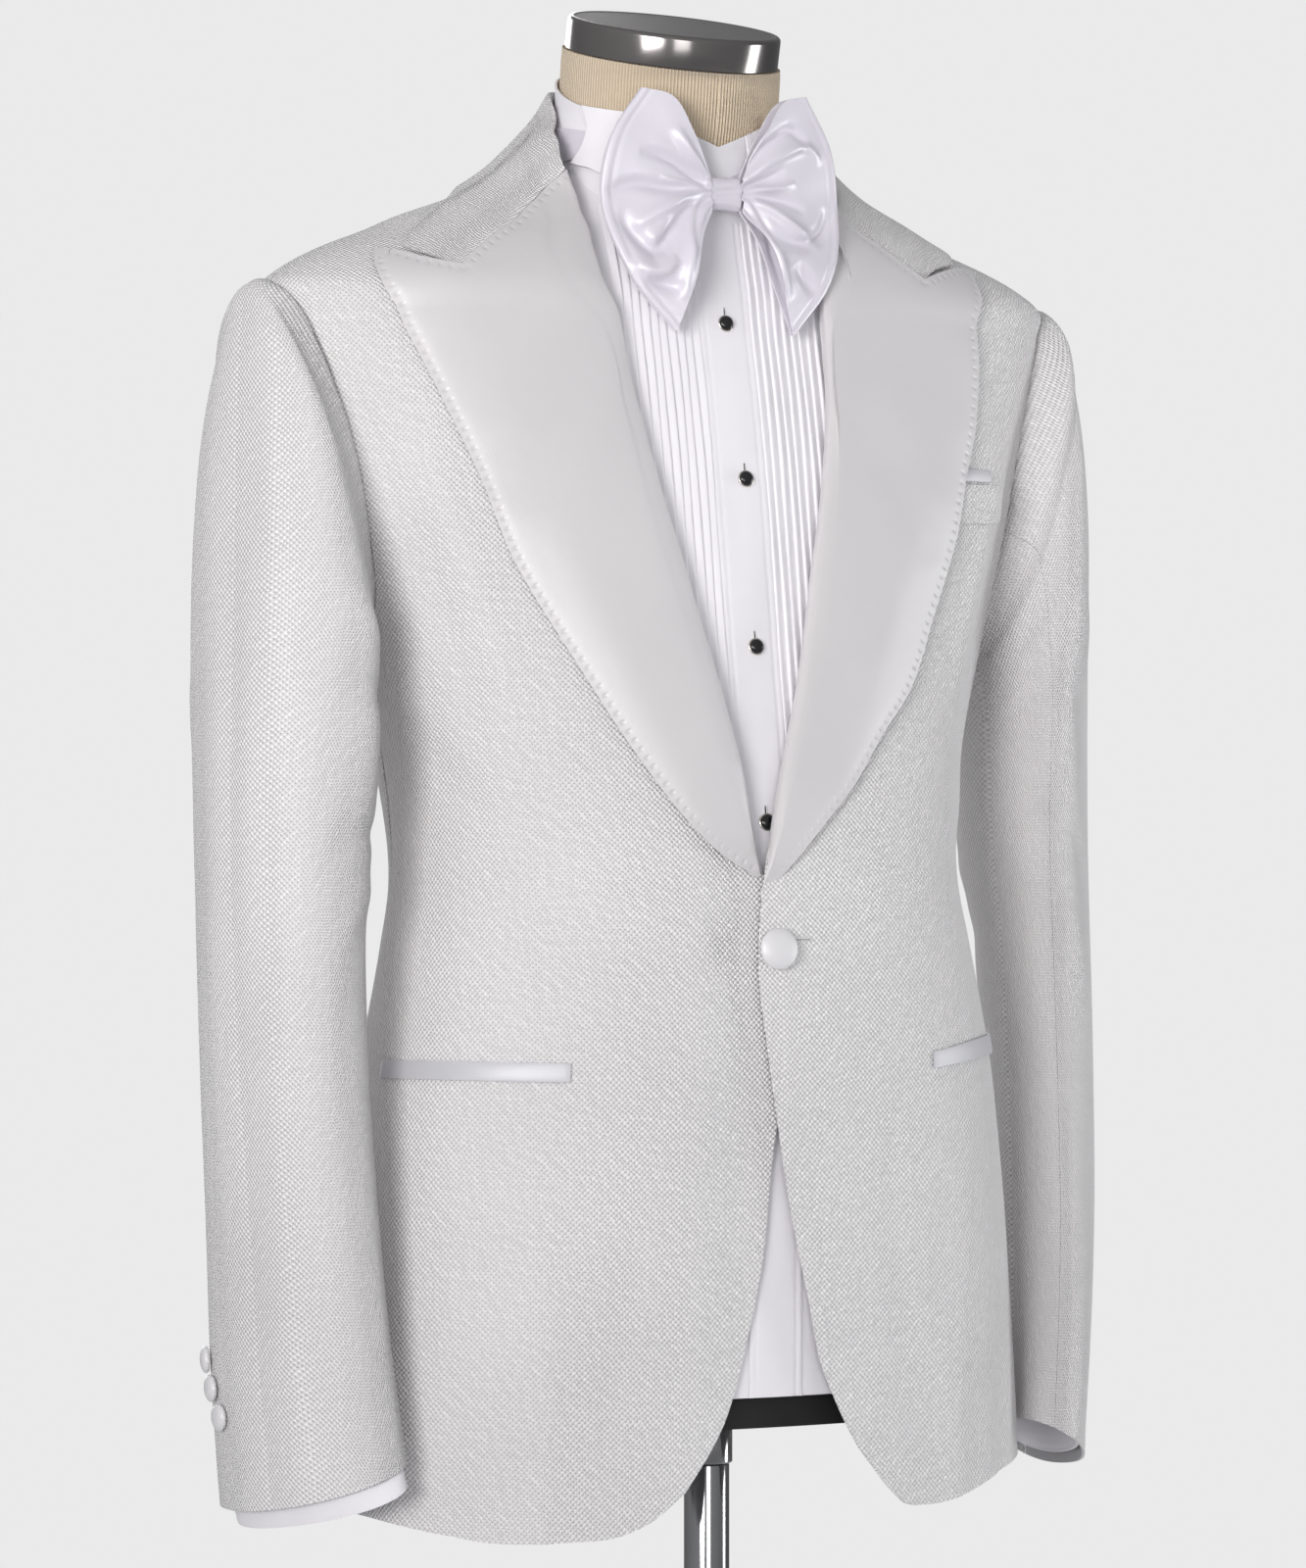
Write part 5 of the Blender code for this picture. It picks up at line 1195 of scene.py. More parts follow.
def sleeve_faces(side):
    tube = sleeve_tube(SLEEVE_ROWS, SLEEVE_FINE)
    rows, columns = tube.shape[:2]
    share = np.stack(np.meshgrid(np.arange(columns) / columns, np.linspace(0, 1, rows)), axis=-1)
    tube = tube + tube_normals(tube) * sleeve_lift(side, share)[..., None]
    # the weave stays upright on the sleeve, and turns into the seam with the cloth's swell
    step = np.diff(tube, axis=0)
    level = np.sqrt(np.maximum((step**2).sum(axis=-1) - step[..., 2] ** 2, 0)) * ramp(0.14 - share[1:, :, 1], 0.06)
    level = np.concatenate([0 * level[:1], np.cumsum(level, axis=0)])
    flat = stack(share[..., 0] * WEAVE_GIRTH + level, -tube[..., 2])
    return np.concatenate([sided(tube, side), flat], axis=-1)


for side in "lr":
    whole = sleeve_faces(side)
    middle = whole[..., :3].mean(axis=1, keepdims=True)
    front, back = UNDER_FRONT * SLEEVE_FINE, UNDER_BACK * SLEEVE_FINE
    wrap = whole[:, : front + 1].copy()
    wrap[..., 3] += WEAVE_GIRTH
    under = np.concatenate([whole[:, back:], wrap], axis=1)
    for name, part in (("sleeve_top", whole[:, front : back + 1]), ("sleeve_under", under)):
        face = sewn(trimmed(part, 0.00008, "lr"), "lr", 0.00015, 0.0012, middle.mean(axis=(0, 1)))
        cloth(f"{name}_{side}", face, CLOTH, "hopsack", "lining_satin", middle=middle)

# %% [markdown]
# ## Shirt panels
# Under the jacket lies a dress shirt: a back, two fronts and two bibs of pin tucks beside the button band. It
# rests on the form a few millimetres under the jacket. Each tuck is a fold that is stitched down along one side,
# so it rises sharply there and slopes away from it; the folds fade out below the waist.

# %% Shirt tables and panels
SHIRT_NECK = ((0, 1.428), (22, 1.434), (40, 1.448), (60, 1.464), (80, 1.4705), (95, 1.4715), (140, 1.470),
              (180, 1.468))
SHIRT_FOOT = 0.789
PLACKET_HALF = 0.0155
TUCKS, TUCK_PITCH, TUCK_RISE = 10, 0.0050, 0.0011
TUCK_SHAPE = ((0.0, 0.0), (0.05, 0.95), (0.13, 1.2), (0.32, 1.02), (0.60, 0.55), (0.85, 0.18))
BIB_INNER = PLACKET_HALF + 0.0006
BIB_OUTER = BIB_INNER + TUCKS * TUCK_PITCH
SHIRT_SHARES = np.array((0, 0.25, 0.45, 0.61, 0.74, 0.85, 0.93, 1.0))
SHIRT_CREASES = (
    (0.010, 0.0014, ((60, 0.80), (58, 0.88), (62, 0.98))),
    (0.010, -0.0014, ((40, 0.79), (42, 0.87), (40, 0.95))),
    (0.012, 0.0012, ((75, 1.15), (60, 1.12), (45, 1.13))),
)


def shirt_out(places, more=0.0):
    return more - depth("shirt", places)


def neck_height(x):
    line = run(np.array(SHIRT_NECK[:6], float), 60)
    return np.interp(x, bare_surface(line[:, 0], line[:, 1])[:, 0], line[:, 1])


def shirt_armhole_places(fine):
    """The shirt's armhole lies inside the jacket's."""
    places = armhole_places(fine)
    places[:, 0] = 91 + (places[:, 0] - 91) * 0.94
    places[:, 1] = np.where(places[:, 1] < 1.29, 1.29 + (places[:, 1] - 1.29) * 0.91, places[:, 1])
    return places


def shirt_shoulder(wide):
    return np.vstack([SHIRT_NECK[5:6], shoulder_line(wide)[1:]])


def on_shirt(name, places, out, side, thick=SHIRTING):
    cloth(name, trimmed(laid(places, out, side)), thick, "poplin")


for number, side in enumerate("lr"):
    x = np.array([BIB_INNER + TUCK_PITCH * (k + s) for k in range(TUCKS) for s, _ in TUCK_SHAPE] + [BIB_OUTER])
    rise = np.array([r for _ in range(TUCKS) for _, r in TUCK_SHAPE] + [0]) * TUCK_RISE
    shares = between(SHIRT_SHARES, 12)
    height = SHIRT_FOOT + shares[:, None] * (neck_height(x) - SHIRT_FOOT)[None, :]
    tuck = np.clip((x - BIB_INNER) / TUCK_PITCH, 0, TUCKS - 0.01).astype(int)[None, :]
    wobble = 0.00022 * np.sin(height * 31 + tuck * 2.1 + number)
    wobble[:, (0, -1)] = 0
    places = stack(angle_at(x[None, :] + wobble, height), height)
    stands = rise[None, :] * ramp(height - 0.93, 0.12) * (1 + 0.18 * np.sin(height * 47 + tuck * 1.7 + number * 2))
    soft = uneven(grain(places), 0.10, 0.0007, 61 + number) * ramp(x - BIB_INNER, 0.01)
    on_shirt(f"shirt_bib_{side}", places, shirt_out(places) + stands + soft, side)

    edge = SHIRT_FOOT + between(SHIRT_SHARES, 6) * (neck_height(BIB_OUTER) - SHIRT_FOOT)
    edge_places = from_x(stack(BIB_OUTER, edge))
    neck = run(np.vstack([edge_places[-1], SHIRT_NECK[3:6]]), 18)
    hole = shirt_armhole_places(3)
    seam = run(((90, SHIRT_FOOT), (90, 1.0), tuple(hole[0])), 30)
    left = joined(edge_places, neck)
    foot = run(np.vstack([left[0], (60, SHIRT_FOOT), seam[0]]), SHOULDER_STEPS * 6)
    places = patch(left, joined(seam, hole[: TOP * 3 + 1]), foot, shirt_shoulder(6))
    places[:, 0, 0] -= 0.35 * ramp(1.462 - places[:, 0, 1], 0.01)
    soft = creased(grain(places), on_grain(SHIRT_CREASES)) * ramp(1.40 - places[..., 1], 0.05)
    on_shirt(f"shirt_front_{side}", places, shirt_out(places) + soft, side)

levels = between((SHIRT_FOOT, 0.92, 1.05, 1.16, 1.25, 1.32, 1.37, 1.41, 1.435, 1.453, SHIRT_NECK[-1][1]), 6)
centre = stack(180, levels)
outer_edge = joined(seam, np.vstack([hole[TOP * 3 :], hole[:1]])[::-1])
head = joined(run(SHIRT_NECK[:4:-1], 12), shirt_shoulder(4))
foot = run((tuple(centre[0]), (135, SHIRT_FOOT), tuple(outer_edge[0])), len(head) - 1)
places = patch(centre, outer_edge, foot, head)
half = laid(places, shirt_out(places))
mirror = half[:, ::-1] * np.array([-1, 1, 1, -1, 1])
mirror[..., 3] += 2 * half[:, :1, 3]
face = trimmed(np.concatenate([mirror, half[:, 1:]], axis=1))
cloth("shirt_back", face, SHIRTING, "poplin")

# %% [markdown]
# ## Button band
# The band that carries the studs is a folded strip on top of the bibs' edges. A row of machine stitches draws it
# in a little along each side, which leaves two narrow grooves.

# %% Placket
STITCH_IN = 0.0040
half = PLACKET_HALF + 0.001
across, height = np.meshgrid(np.linspace(-half, half, 33), np.linspace(SHIRT_FOOT, 1.4300, 180))
places = stack(angle_at(across, height), height)
from_side = half - np.abs(across)
puff = 0.00035 * ramp(from_side, 0.0012) - 0.00045 * hump(from_side - STITCH_IN, 0.0007)
puff += 0.00012 * np.sin(height * 2 * np.pi / 0.0052) * hump(from_side - STITCH_IN, 0.0016)
puff += uneven(stack(across, height), 0.07, 0.0005, 71)
on_shirt("shirt_placket", places, shirt_out(places, 0.0004) + puff, "l", 0.0018)

# %% [markdown]
# ## Shirt collar and its wings
# A formal collar is a stand with two small wings that fold down over the bow tie's band. Its top edge is turned
# in and stitched, so it is a little rounder and thicker than the cloth under it.

# %% Shirt collar
LAID = 0.0004
NECK_Y, NECK_LEAN, COLLAR_RADIUS, COLLAR_LIFT = 0.0460, -0.13, 0.0636, -0.0008
COLLAR_TOP = ((0, 1.4700), (42, 1.4870), (60, 1.4905), (77, 1.4945), (90, 1.4995), (105, 1.5060), (130, 1.5155),
              (180, 1.5185))
WING_FOOT_HEIGHTS = ((10, 1.4440), (30, 1.4470), (50, 1.4570), (64, 1.4600), (80, 1.4620))


def on_collar(angle, height, out=0.0):
    """Points on the shirt's collar, from angles, heights and a distance out."""
    angle, height, out = np.broadcast_arrays(np.asarray(angle, float), height, out)

    def face(turn, level):
        foot = stack(turn, read(SHIRT_NECK, np.abs(turn)))
        low = surface(foot, shirt_out(foot)) + np.array([0, 0, COLLAR_LIFT])
        high = read(COLLAR_TOP, np.abs(turn))
        up = (level - low[..., 2]) / (high - low[..., 2])
        swing = np.radians(turn)
        middle = NECK_Y + NECK_LEAN * (level - 1.5)
        round_neck = stack(COLLAR_RADIUS * np.sin(swing), middle - COLLAR_RADIUS * np.cos(swing), level)
        flare = ((1 - up) ** 2)[..., None]
        made = low * flare + round_neck * (1 - flare)
        made[..., 2] = level
        return made

    normal = np.cross(face(angle + 1, height) - face(angle - 1, height),
                      face(angle, height + 0.001) - face(angle, height - 0.001))
    return face(angle, height) + unit(normal) * out[..., None]


def collar_heights(around, rows):
    """The heights on the collar at shares of the way from its seam to its top."""
    foot = stack(around, read(SHIRT_NECK, np.abs(around)))
    start = surface(foot, shirt_out(foot))[..., 2] + COLLAR_LIFT
    end = read(COLLAR_TOP, np.abs(around))
    return start + (end - start) * rows[:, None]


rows = np.concatenate([np.linspace(0, 0.9, 13), [0.94, 0.97, 0.99, 1.0]])
around = np.linspace(-180, 180, 180, endpoint=False)
height = collar_heights(around, rows)
edge_roll = 0.0005 * hump(1 - rows, 0.07) - 0.0003 * hump((1 - rows) - 0.17, 0.03)
soft = uneven(stack(around * 0.0011, height), 0.06, 0.0004, 81)
out = edge_roll[:, None] + 0.0006 * (1 - rows[:, None]) ** 4 + soft * np.sin(np.pi * rows)[:, None]
face = on_collar(around, height, out)
NECK_MIDDLE = np.array([0, 0.045, 1.48])
cloth("shirt_collar", face, SHIRTING, "poplin", closed=True, middle=NECK_MIDDLE)
for side in "lr":
    up, along = np.linspace(0, 1, 22)[:, None], np.linspace(0, 1, 44)[None, :]
    angle = 15 + 49 * along + np.interp(up, (0, 1 / 3, 2 / 3, 1), (0, 0, 2, 10)) * along**2
    low = np.interp(angle, *np.array(WING_FOOT_HEIGHTS).T)
    high = read(COLLAR_TOP, angle) + 0.0008
    height = low + (high - low) * up
    out = smooth((0, 1 / 3, 2 / 3, 1), (0.0036, 0.0040, 0.0034, 0.0008), up) + SHIRTING
    out = out - 0.0003 * hump(up - 0.22, 0.05) - 0.0003 * hump(along - 0.10, 0.025)
    out = out + 0.0010 * hump(along - 0.5, 0.3) * (1 - up) ** 2
    face = sided(trimmed(on_collar(angle, height, out)), side)
    cloth(f"shirt_wing_{side}", face, SHIRTING, "poplin", middle=NECK_MIDDLE)

# %% [markdown]
# ## Shirt sleeves and cuffs
# The shirt's sleeves hang inside the jacket's. Only a cuff looks out: a stiff double layer, stitched a few
# millimetres above its edge. On the wearer's left it stays up inside the sleeve.

# %% Shirt sleeves and cuffs
SHIRT_SLEEVE = ((0.6, 0.0130), (1.4, 0.0115), (2.4, 0.0100), (3.5, 0.0085), (5, 0.0075), (6.5, 0.0065), (8, 0.0060))
CUFF_INSET, CUFF_THICK, CUFF_TALL = 0.0048, 0.0016, 0.060
CUFF_SHOWS = {"l": -0.004, "r": 0.013}
CUFF_SHIFT = np.array((-0.0022, -0.0040, 0.0015))


def cuff_rings(shows, steps, rows):
    """A cuff's rings from its edge up, and how far above the edge each lies."""
    end, above = sleeve_ring(LAST_RING, steps, CUFF_INSET), sleeve_ring(LAST_RING - 1, steps, CUFF_INSET)
    down = unit((end - above).mean(axis=0))
    low = end + down * shows + (CUFF_SHIFT if shows > 0 else 0)
    at = np.linspace(-shows, CUFF_TALL, rows)
    table = np.array([low, end - down * 0.012, end - down * CUFF_TALL])
    return smooth((-shows, 0.012, CUFF_TALL), table, at), at + shows


for side in "lr":
    cuff, up = cuff_rings(CUFF_SHOWS[side], 120, 40)
    dent = -0.0003 * hump(up - 0.0045, 0.0008) - 0.0004 * hump(up, 0.0006)
    cuff = cuff + tube_normals(cuff) * dent[:, None, None]
    cloth(f"shirt_cuff_{side}", sided(cuff, side), CUFF_THICK, "poplin", closed=True,
          middle=sided(cuff.mean(axis=(0, 1)), side))
    hole = shirt_armhole_places(4)
    start = surface(hole, shirt_out(hole))
    rings = [sleeve_ring(at, RING * 4, inset) for at, inset in SHIRT_SLEEVE]
    top = cuff_rings(CUFF_SHOWS[side], RING * 4, 40)[0][-1]
    gap = np.where(start[:, 2:] < 1.25, 0.0024, 0.0009)
    table = np.array([start + gap * unit(rings[0] - start)] + rings + [top + 0.0012 * unit(rings[-1] - top)])
    reach = np.array([-0.45] + [at for at, _ in SHIRT_SLEEVE] + [9.09])
    tube = smooth(reach, table, np.linspace(-0.45, 9.09, 56))
    cloth(f"shirt_sleeve_{side}", sided(tube, side), SHIRTING, "poplin", closed=True,
          middle=sided(tube.mean(axis=1, keepdims=True), side))

# %% [markdown]
# ## Bow tie
# A butterfly bow is one long shaped band of satin, folded into two wings and pinched by its knot. The pinch is
# what makes it live: deep creases fan out of the knot, die away towards the wings' edges, and never match on the
# two sides. Each wing here is a flattened loop; the creases are drawn on it as lines of (x, height).

# %% Bow wings
WING_TOP = ((0.0096, 1.4520), (0.0225, 1.4765), (0.0360, 1.4960), (0.0500, 1.4992))
WING_FOOT = ((0.0096, 1.4335), (0.0190, 1.4190), (0.0265, 1.3950), (0.0360, 1.3665))
WING_OUTER = ((0.0500, 1.4992), (0.0668, 1.4720), (0.0720, 1.4360), (0.0605, 1.3960), (0.0360, 1.3665))
WING_SPREAD = ((0.0, 0.0030), (0.45, 0.0065), (1.0, 0.0022))
WING_MIDDLE = ((1.36, -0.0400), (1.40, -0.0340), (1.443, -0.0215), (1.47, -0.0225), (1.50, -0.0260))
WING_SWEEP = 0.0060
WING_CREASES = {
    "r": (
        (0.0030, -0.0022, ((0.0120, 1.4495), (0.0294, 1.4576), (0.0444, 1.4635), (0.0526, 1.4644))),
        (0.0030, 0.0019, ((0.0120, 1.4515), (0.0249, 1.4644), (0.0339, 1.4787))),
        (0.0017, -0.0012, ((0.0130, 1.4480), (0.0249, 1.4530), (0.0317, 1.4560))),
        (0.0019, 0.0013, ((0.0130, 1.4466), (0.0294, 1.4480), (0.0420, 1.4500))),
        (0.0032, -0.0021, ((0.0130, 1.4444), (0.0384, 1.4454), (0.0593, 1.4465), (0.0700, 1.4408))),
        (0.0036, 0.0022, ((0.0130, 1.4438), (0.0219, 1.4426), (0.0399, 1.4344), (0.0593, 1.4229))),
        (0.0042, -0.0026, ((0.0640, 1.4320), (0.0580, 1.4200), (0.0474, 1.4101), (0.0339, 1.4240), (0.0240, 1.4370))),
        (0.0036, 0.0016, ((0.0623, 1.4042), (0.0474, 1.3982), (0.0360, 1.4060))),
        (0.0036, -0.0016, ((0.0534, 1.3953), (0.0429, 1.3917), (0.0324, 1.3894))),
        (0.0030, 0.0017, ((0.0140, 1.4404), (0.0262, 1.4162), (0.0340, 1.3826))),
        (0.0022, -0.0014, ((0.0130, 1.4420), (0.0210, 1.4290), (0.0262, 1.4120))),
    ),
    "l": (
        (0.0030, -0.0020, ((0.0110, 1.4530), (0.0251, 1.4722), (0.0400, 1.4800), (0.0500, 1.4720))),
        (0.0030, 0.0019, ((0.0110, 1.4505), (0.0312, 1.4651), (0.0511, 1.4705), (0.0603, 1.4631))),
        (0.0020, -0.0014, ((0.0110, 1.4478), (0.0251, 1.4534), (0.0352, 1.4591))),
        (0.0021, 0.0012, ((0.0120, 1.4462), (0.0260, 1.4470), (0.0420, 1.4510))),
        (0.0026, -0.0016, ((0.0120, 1.4446), (0.0357, 1.4400), (0.0480, 1.4352))),
        (0.0034, 0.0020, ((0.0120, 1.4436), (0.0270, 1.4340), (0.0440, 1.4230), (0.0560, 1.4150))),
        (0.0038, -0.0022, ((0.0230, 1.4204), (0.0434, 1.4170), (0.0600, 1.4250), (0.0660, 1.4380))),
        (0.0034, 0.0019, ((0.0120, 1.4415), (0.0220, 1.4183), (0.0310, 1.3850))),
        (0.0024, -0.0014, ((0.0120, 1.4426), (0.0190, 1.4300), (0.0260, 1.4130))),
        (0.0040, -0.0015, ((0.0380, 1.4060), (0.0450, 1.3960), (0.0520, 1.3900))),
    ),
}
OUT, DOWN, KNOT_MIDDLE = 60, 84, 1.4435
top, foot, edge = run(WING_TOP, OUT), run(WING_FOOT, OUT), run(WING_OUTER, DOWN)
knot_side = run((WING_TOP[0], (WING_TOP[0][0], KNOT_MIDDLE), WING_FOOT[0]), DOWN)
flat_wing = patch(top, foot, knot_side, edge)
fan = flat_wing - np.array([0.0030, KNOT_MIDDLE])
swing, reach = np.arctan2(fan[..., 1], fan[..., 0]), np.linalg.norm(fan, axis=-1)
share = np.linspace(0, 1, OUT + 1)[:, None]
spread = read(WING_SPREAD, share)
middle_y = read(WING_MIDDLE, flat_wing[..., 1]) + WING_SWEEP * share**2
from_edge = (1 - share) * np.linalg.norm(flat_wing[-1] - flat_wing[0], axis=-1)[None, :]
hem = -0.0005 * hump(from_edge - 0.0035, 0.0008) + 0.0003 * hump(from_edge - 0.0015, 0.0010)
for side, other in (("l", "r"), ("r", "l")):
    pleats = 0.0009 * np.sin(swing * 10 + 1.7 * "lr".index(side) + 26 * reach) * hump(reach - 0.014, 0.013)
    pleats += 0.0005 * np.sin(swing * 17 + 0.9 - 40 * reach) * hump(reach - 0.026, 0.014)
    lift = 2.3 * creased(flat_wing, WING_CREASES[side]) + pleats + hem + uneven(flat_wing, 0.03, 0.0007, 91)
    back_lift = 0.8 * creased(flat_wing, WING_CREASES[other]) + hem
    front = stack(flat_wing[..., 0], middle_y - spread - lift, flat_wing[..., 1])
    back = stack(flat_wing[..., 0], middle_y + spread + back_lift, flat_wing[..., 1])
    (x, front_y, z), back_y = front[-1].T, back[-1, :, 1]
    tips = [stack(x + 0.0011 * math.sin(t), (front_y + back_y) / 2 - (back_y - front_y) / 2 * math.cos(t), z)
            for t in np.radians((30, 60, 90, 120, 150))]
    loop = sided(np.concatenate([front, np.array(tips), back[::-1]]), side)
    middle = sided(np.array([0.035, -0.025, 1.44]), side)
    cloth(f"bow_wing_{side}", loop, SATIN, "bow_satin", middle=middle)

# %% [markdown]
# The knot is a short tight sleeve of the same satin round the wings' middle, with one fold across it. The band
# runs from the knot round the collar, under the wings.

# %% Bow knot and band
KNOT_DEPTH = -0.0183
KNOT_HALF = (0.0092, 0.0060, 0.0098)
swing = np.linspace(0, 2 * math.pi, 72, endpoint=False)
rings = []
for share in np.linspace(-1, 1, 25):
    swell = 1 - 0.10 * (1 - share**2) - 0.05 * hump(abs(share) - 1, 0.12)
    up = power(np.sin(swing), 0.8)
    fold = 0.0010 * hump(up - 0.10 - 0.12 * share, 0.16) - 0.0008 * hump(up + 0.24 - 0.10 * share, 0.14)
    fold += 0.0007 * hump(up + 0.62 + 0.1 * share, 0.14) - 0.0007 * hump(up - 0.45 - 0.2 * share, 0.12)
    fold *= np.clip(np.cos(swing), 0, 1)
    rings.append(stack(share * KNOT_HALF[0], KNOT_DEPTH - KNOT_HALF[1] * swell * power(np.cos(swing), 0.8) - fold,
                       KNOT_MIDDLE + KNOT_HALF[2] * swell * up))
cloth("bow_knot", np.array(rings), SATIN, "bow_satin", closed=True,
      middle=np.array([0, KNOT_DEPTH, KNOT_MIDDLE]))

BAND_LOW = ((0, 1.4350), (30, 1.4425), (45, 1.4550), (62, 1.4625), (95, 1.4615), (130, 1.4690), (180, 1.4705))
BAND_HIGH = ((0, 1.4520), (30, 1.4640), (45, 1.4710), (62, 1.4775), (95, 1.4840), (130, 1.4870), (180, 1.4880))
around = np.linspace(7.3, 352.7, 220)
around = np.where(around > 180, around - 360, around)[None, :]
low, high = (read(table, np.abs(around)) for table in (BAND_LOW, BAND_HIGH))
up = np.linspace(0, 1, 13)[:, None]
height = low + (high - low) * up
arch = np.sin(np.pi * up)
puff = 2 * LAID + 0.0010 + 0.0008 * arch**0.6 + 0.00035 * np.sin(np.radians(around) * 9 + up * 5) * arch
cloth("bow_band", trimmed(on_collar(around, height, puff)), 0.0010, "bow_satin",
      middle=NECK_MIDDLE)

# %% [markdown]
# ## Pockets
# The jacket's pockets are jetted: a narrow satin welt covers each hip pocket's opening, and the breast pocket has
# a welt of the jacket's own cloth with a line of satin above it. A welt is a folded strip, so it is round along
# both its edges and sunk where it is sewn.

# %% Pocket welts
HIP_WELT = {
    "l": (((30.5, 0.9642), (48.5, 0.9678), (88, 0.9690)), ((30.9, 0.9735), (46.6, 0.9782), (88, 0.9795))),
    "r": (((36.9, 0.9608), (60, 0.9613), (88, 0.9604)), ((37.1, 0.9712), (60, 0.9717), (88, 0.9708))),
}
BREAST_WELT = (((31, 1.2648), (45, 1.2655), (57.2, 1.2671)), ((33, 1.2870), (45, 1.2876), (54.3, 1.2879)))
BREAST_SATIN = (((37, 1.2889), (43, 1.2890), (48.4, 1.2892)), ((37, 1.2962), (43, 1.2962), (47.8, 1.2958)))


def welt(name, foot, head, steps, finish, out, thick, side, belly):
    """A folded strip between two lines on the front, rounded along its edges and sunk at its ends."""
    low, high = run(foot, steps), run(head, steps)
    up = np.concatenate([[0, 0.04, 0.10], np.linspace(0.2, 0.8, 7), [0.90, 0.96, 1.0]])[:, None, None]
    places = low[None] * (1 - up) + high[None] * up
    round_edge = belly * np.sin(np.pi * np.clip(up[..., 0], 0.02, 0.98)) ** 0.4 - belly
    ends = np.linspace(0, 1, steps + 1)[None, :]
    round_edge = round_edge - 0.0005 * hump(np.minimum(ends, 1 - ends) * steps, 1.2)
    lift = front_lift(side, places) + out + round_edge
    cloth(name, trimmed(laid(places, lift, side)), thick, finish)


for side in "lr":
    welt(f"hip_welt_{side}", *HIP_WELT[side], 110, "piping_satin", 0.0021, SATIN, side, 0.0006)
welt("breast_welt", *BREAST_WELT, 70, "hopsack", 0.0023, 0.0011, "l", 0.0004)
welt("breast_satin", *BREAST_SATIN, 36, "piping_satin", 0.0021, 0.0009, "l", 0.0005)

# %% [markdown]
# ## Buttons
# The jacket's buttons are covered: satin drawn over a domed shell. A squashed sphere with its back cut flat gives
# the dome and the slightly drawn-in base. It is made once for each size; the copies get their own mesh and are
# turned to face out of the cloth.

# %% Buttons


def edit(select="SELECT"):
    """Edit mode, with everything of the active object selected or nothing."""
    bpy.ops.object.mode_set(mode="EDIT")
    bpy.ops.mesh.select_all(action=select)


def edited():
    """Back to object mode."""
    bpy.ops.object.mode_set(mode="OBJECT")


def join(thing, other):
    only(thing)
    other.select_set(True)
    bpy.ops.object.join()


def copied(thing):
    made = thing.copy()
    made.data = thing.data.copy()
    bpy.context.scene.collection.objects.link(made)
    return made


def placed(thing, place, facing, spin=0.0):
    """Turns a finished thing to face a way, moves it to its place and settles both into its mesh."""
    thing.rotation_mode = "QUATERNION"
    turn = Vector(facing).to_track_quat("Z", "Y").to_matrix() @ Matrix.Rotation(spin, 3, "Z")
    thing.rotation_quaternion = turn.to_quaternion()
    thing.location = Vector(place)
    only(thing)
    bpy.ops.object.transform_apply(location=True, rotation=True, scale=True)


def hard(thing, name, finish, slot, angle, *nodes):
    """Names a hard piece, gives it its finish and hides the CAD nodes that it stands for."""
    thing.name = thing.data.name = name
    if finish:
        thing.data.materials.clear()
        thing.data.materials.append(finishes[finish])
    only(thing)
    bpy.ops.object.shade_smooth_by_angle(angle=math.radians(angle))
    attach(thing, "root")
    if nodes:
        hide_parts(*nodes)


def from_above(thing):
    """A UV map called cloth that looks straight down on the thing, in metres."""
    mesh = thing.data
    layer = mesh.uv_layers.new(name="cloth")
    corners = np.empty(len(mesh.loops), int)
    mesh.loops.foreach_get("vertex_index", corners)
    places = np.empty(len(mesh.vertices) * 3)
    mesh.vertices.foreach_get("co", places)
    layer.data.foreach_set("uv", places.reshape(-1, 3)[corners, :2].ravel())


def dome(radius, thick, segments=48, rings=24):
    """A dome with a drawn-in flat back, standing on z = 0."""
    bpy.ops.mesh.primitive_uv_sphere_add(segments=segments, ring_count=rings, radius=radius, location=(0, 0, 0))
    edit()
    bpy.ops.mesh.bisect(plane_co=(0, 0, -radius * 0.5), plane_no=(0, 0, 1), clear_inner=True, use_fill=True)
    bpy.ops.mesh.select_all(action="SELECT")
    bpy.ops.transform.resize(value=(1, 1, thick / (1.5 * radius)))
    bpy.ops.transform.translate(value=(0, 0, thick / 3))
    edited()
    return bpy.context.object


def facing_out(spot):
    return surface(spot, 1.0) - surface(spot, 0.0)


def on_left_front(spot, out):
    """The point a little out from the left front's cloth, and the way it faces."""
    return surface(spot, float(front_lift("l", spot[None, None])[0, 0]) + out), facing_out(spot)


FRONT_BUTTON = np.array([-0.66, 1.031])
FRONT_BUTTON_RADIUS, SLEEVE_BUTTON_RADIUS = 0.0112, 0.0075
FIRST_BUTTON_UP, BUTTON_PITCH, RING_TALL, RING_STEPS = 0.044, 0.0138, 0.066, 200
button = dome(FRONT_BUTTON_RADIUS, 0.0062, 64, 32)
from_above(button)
placed(button, *on_left_front(FRONT_BUTTON, 0.0002))
hard(button, "front_button_cover", "button_satin", "button_satin", 60, "front_button")

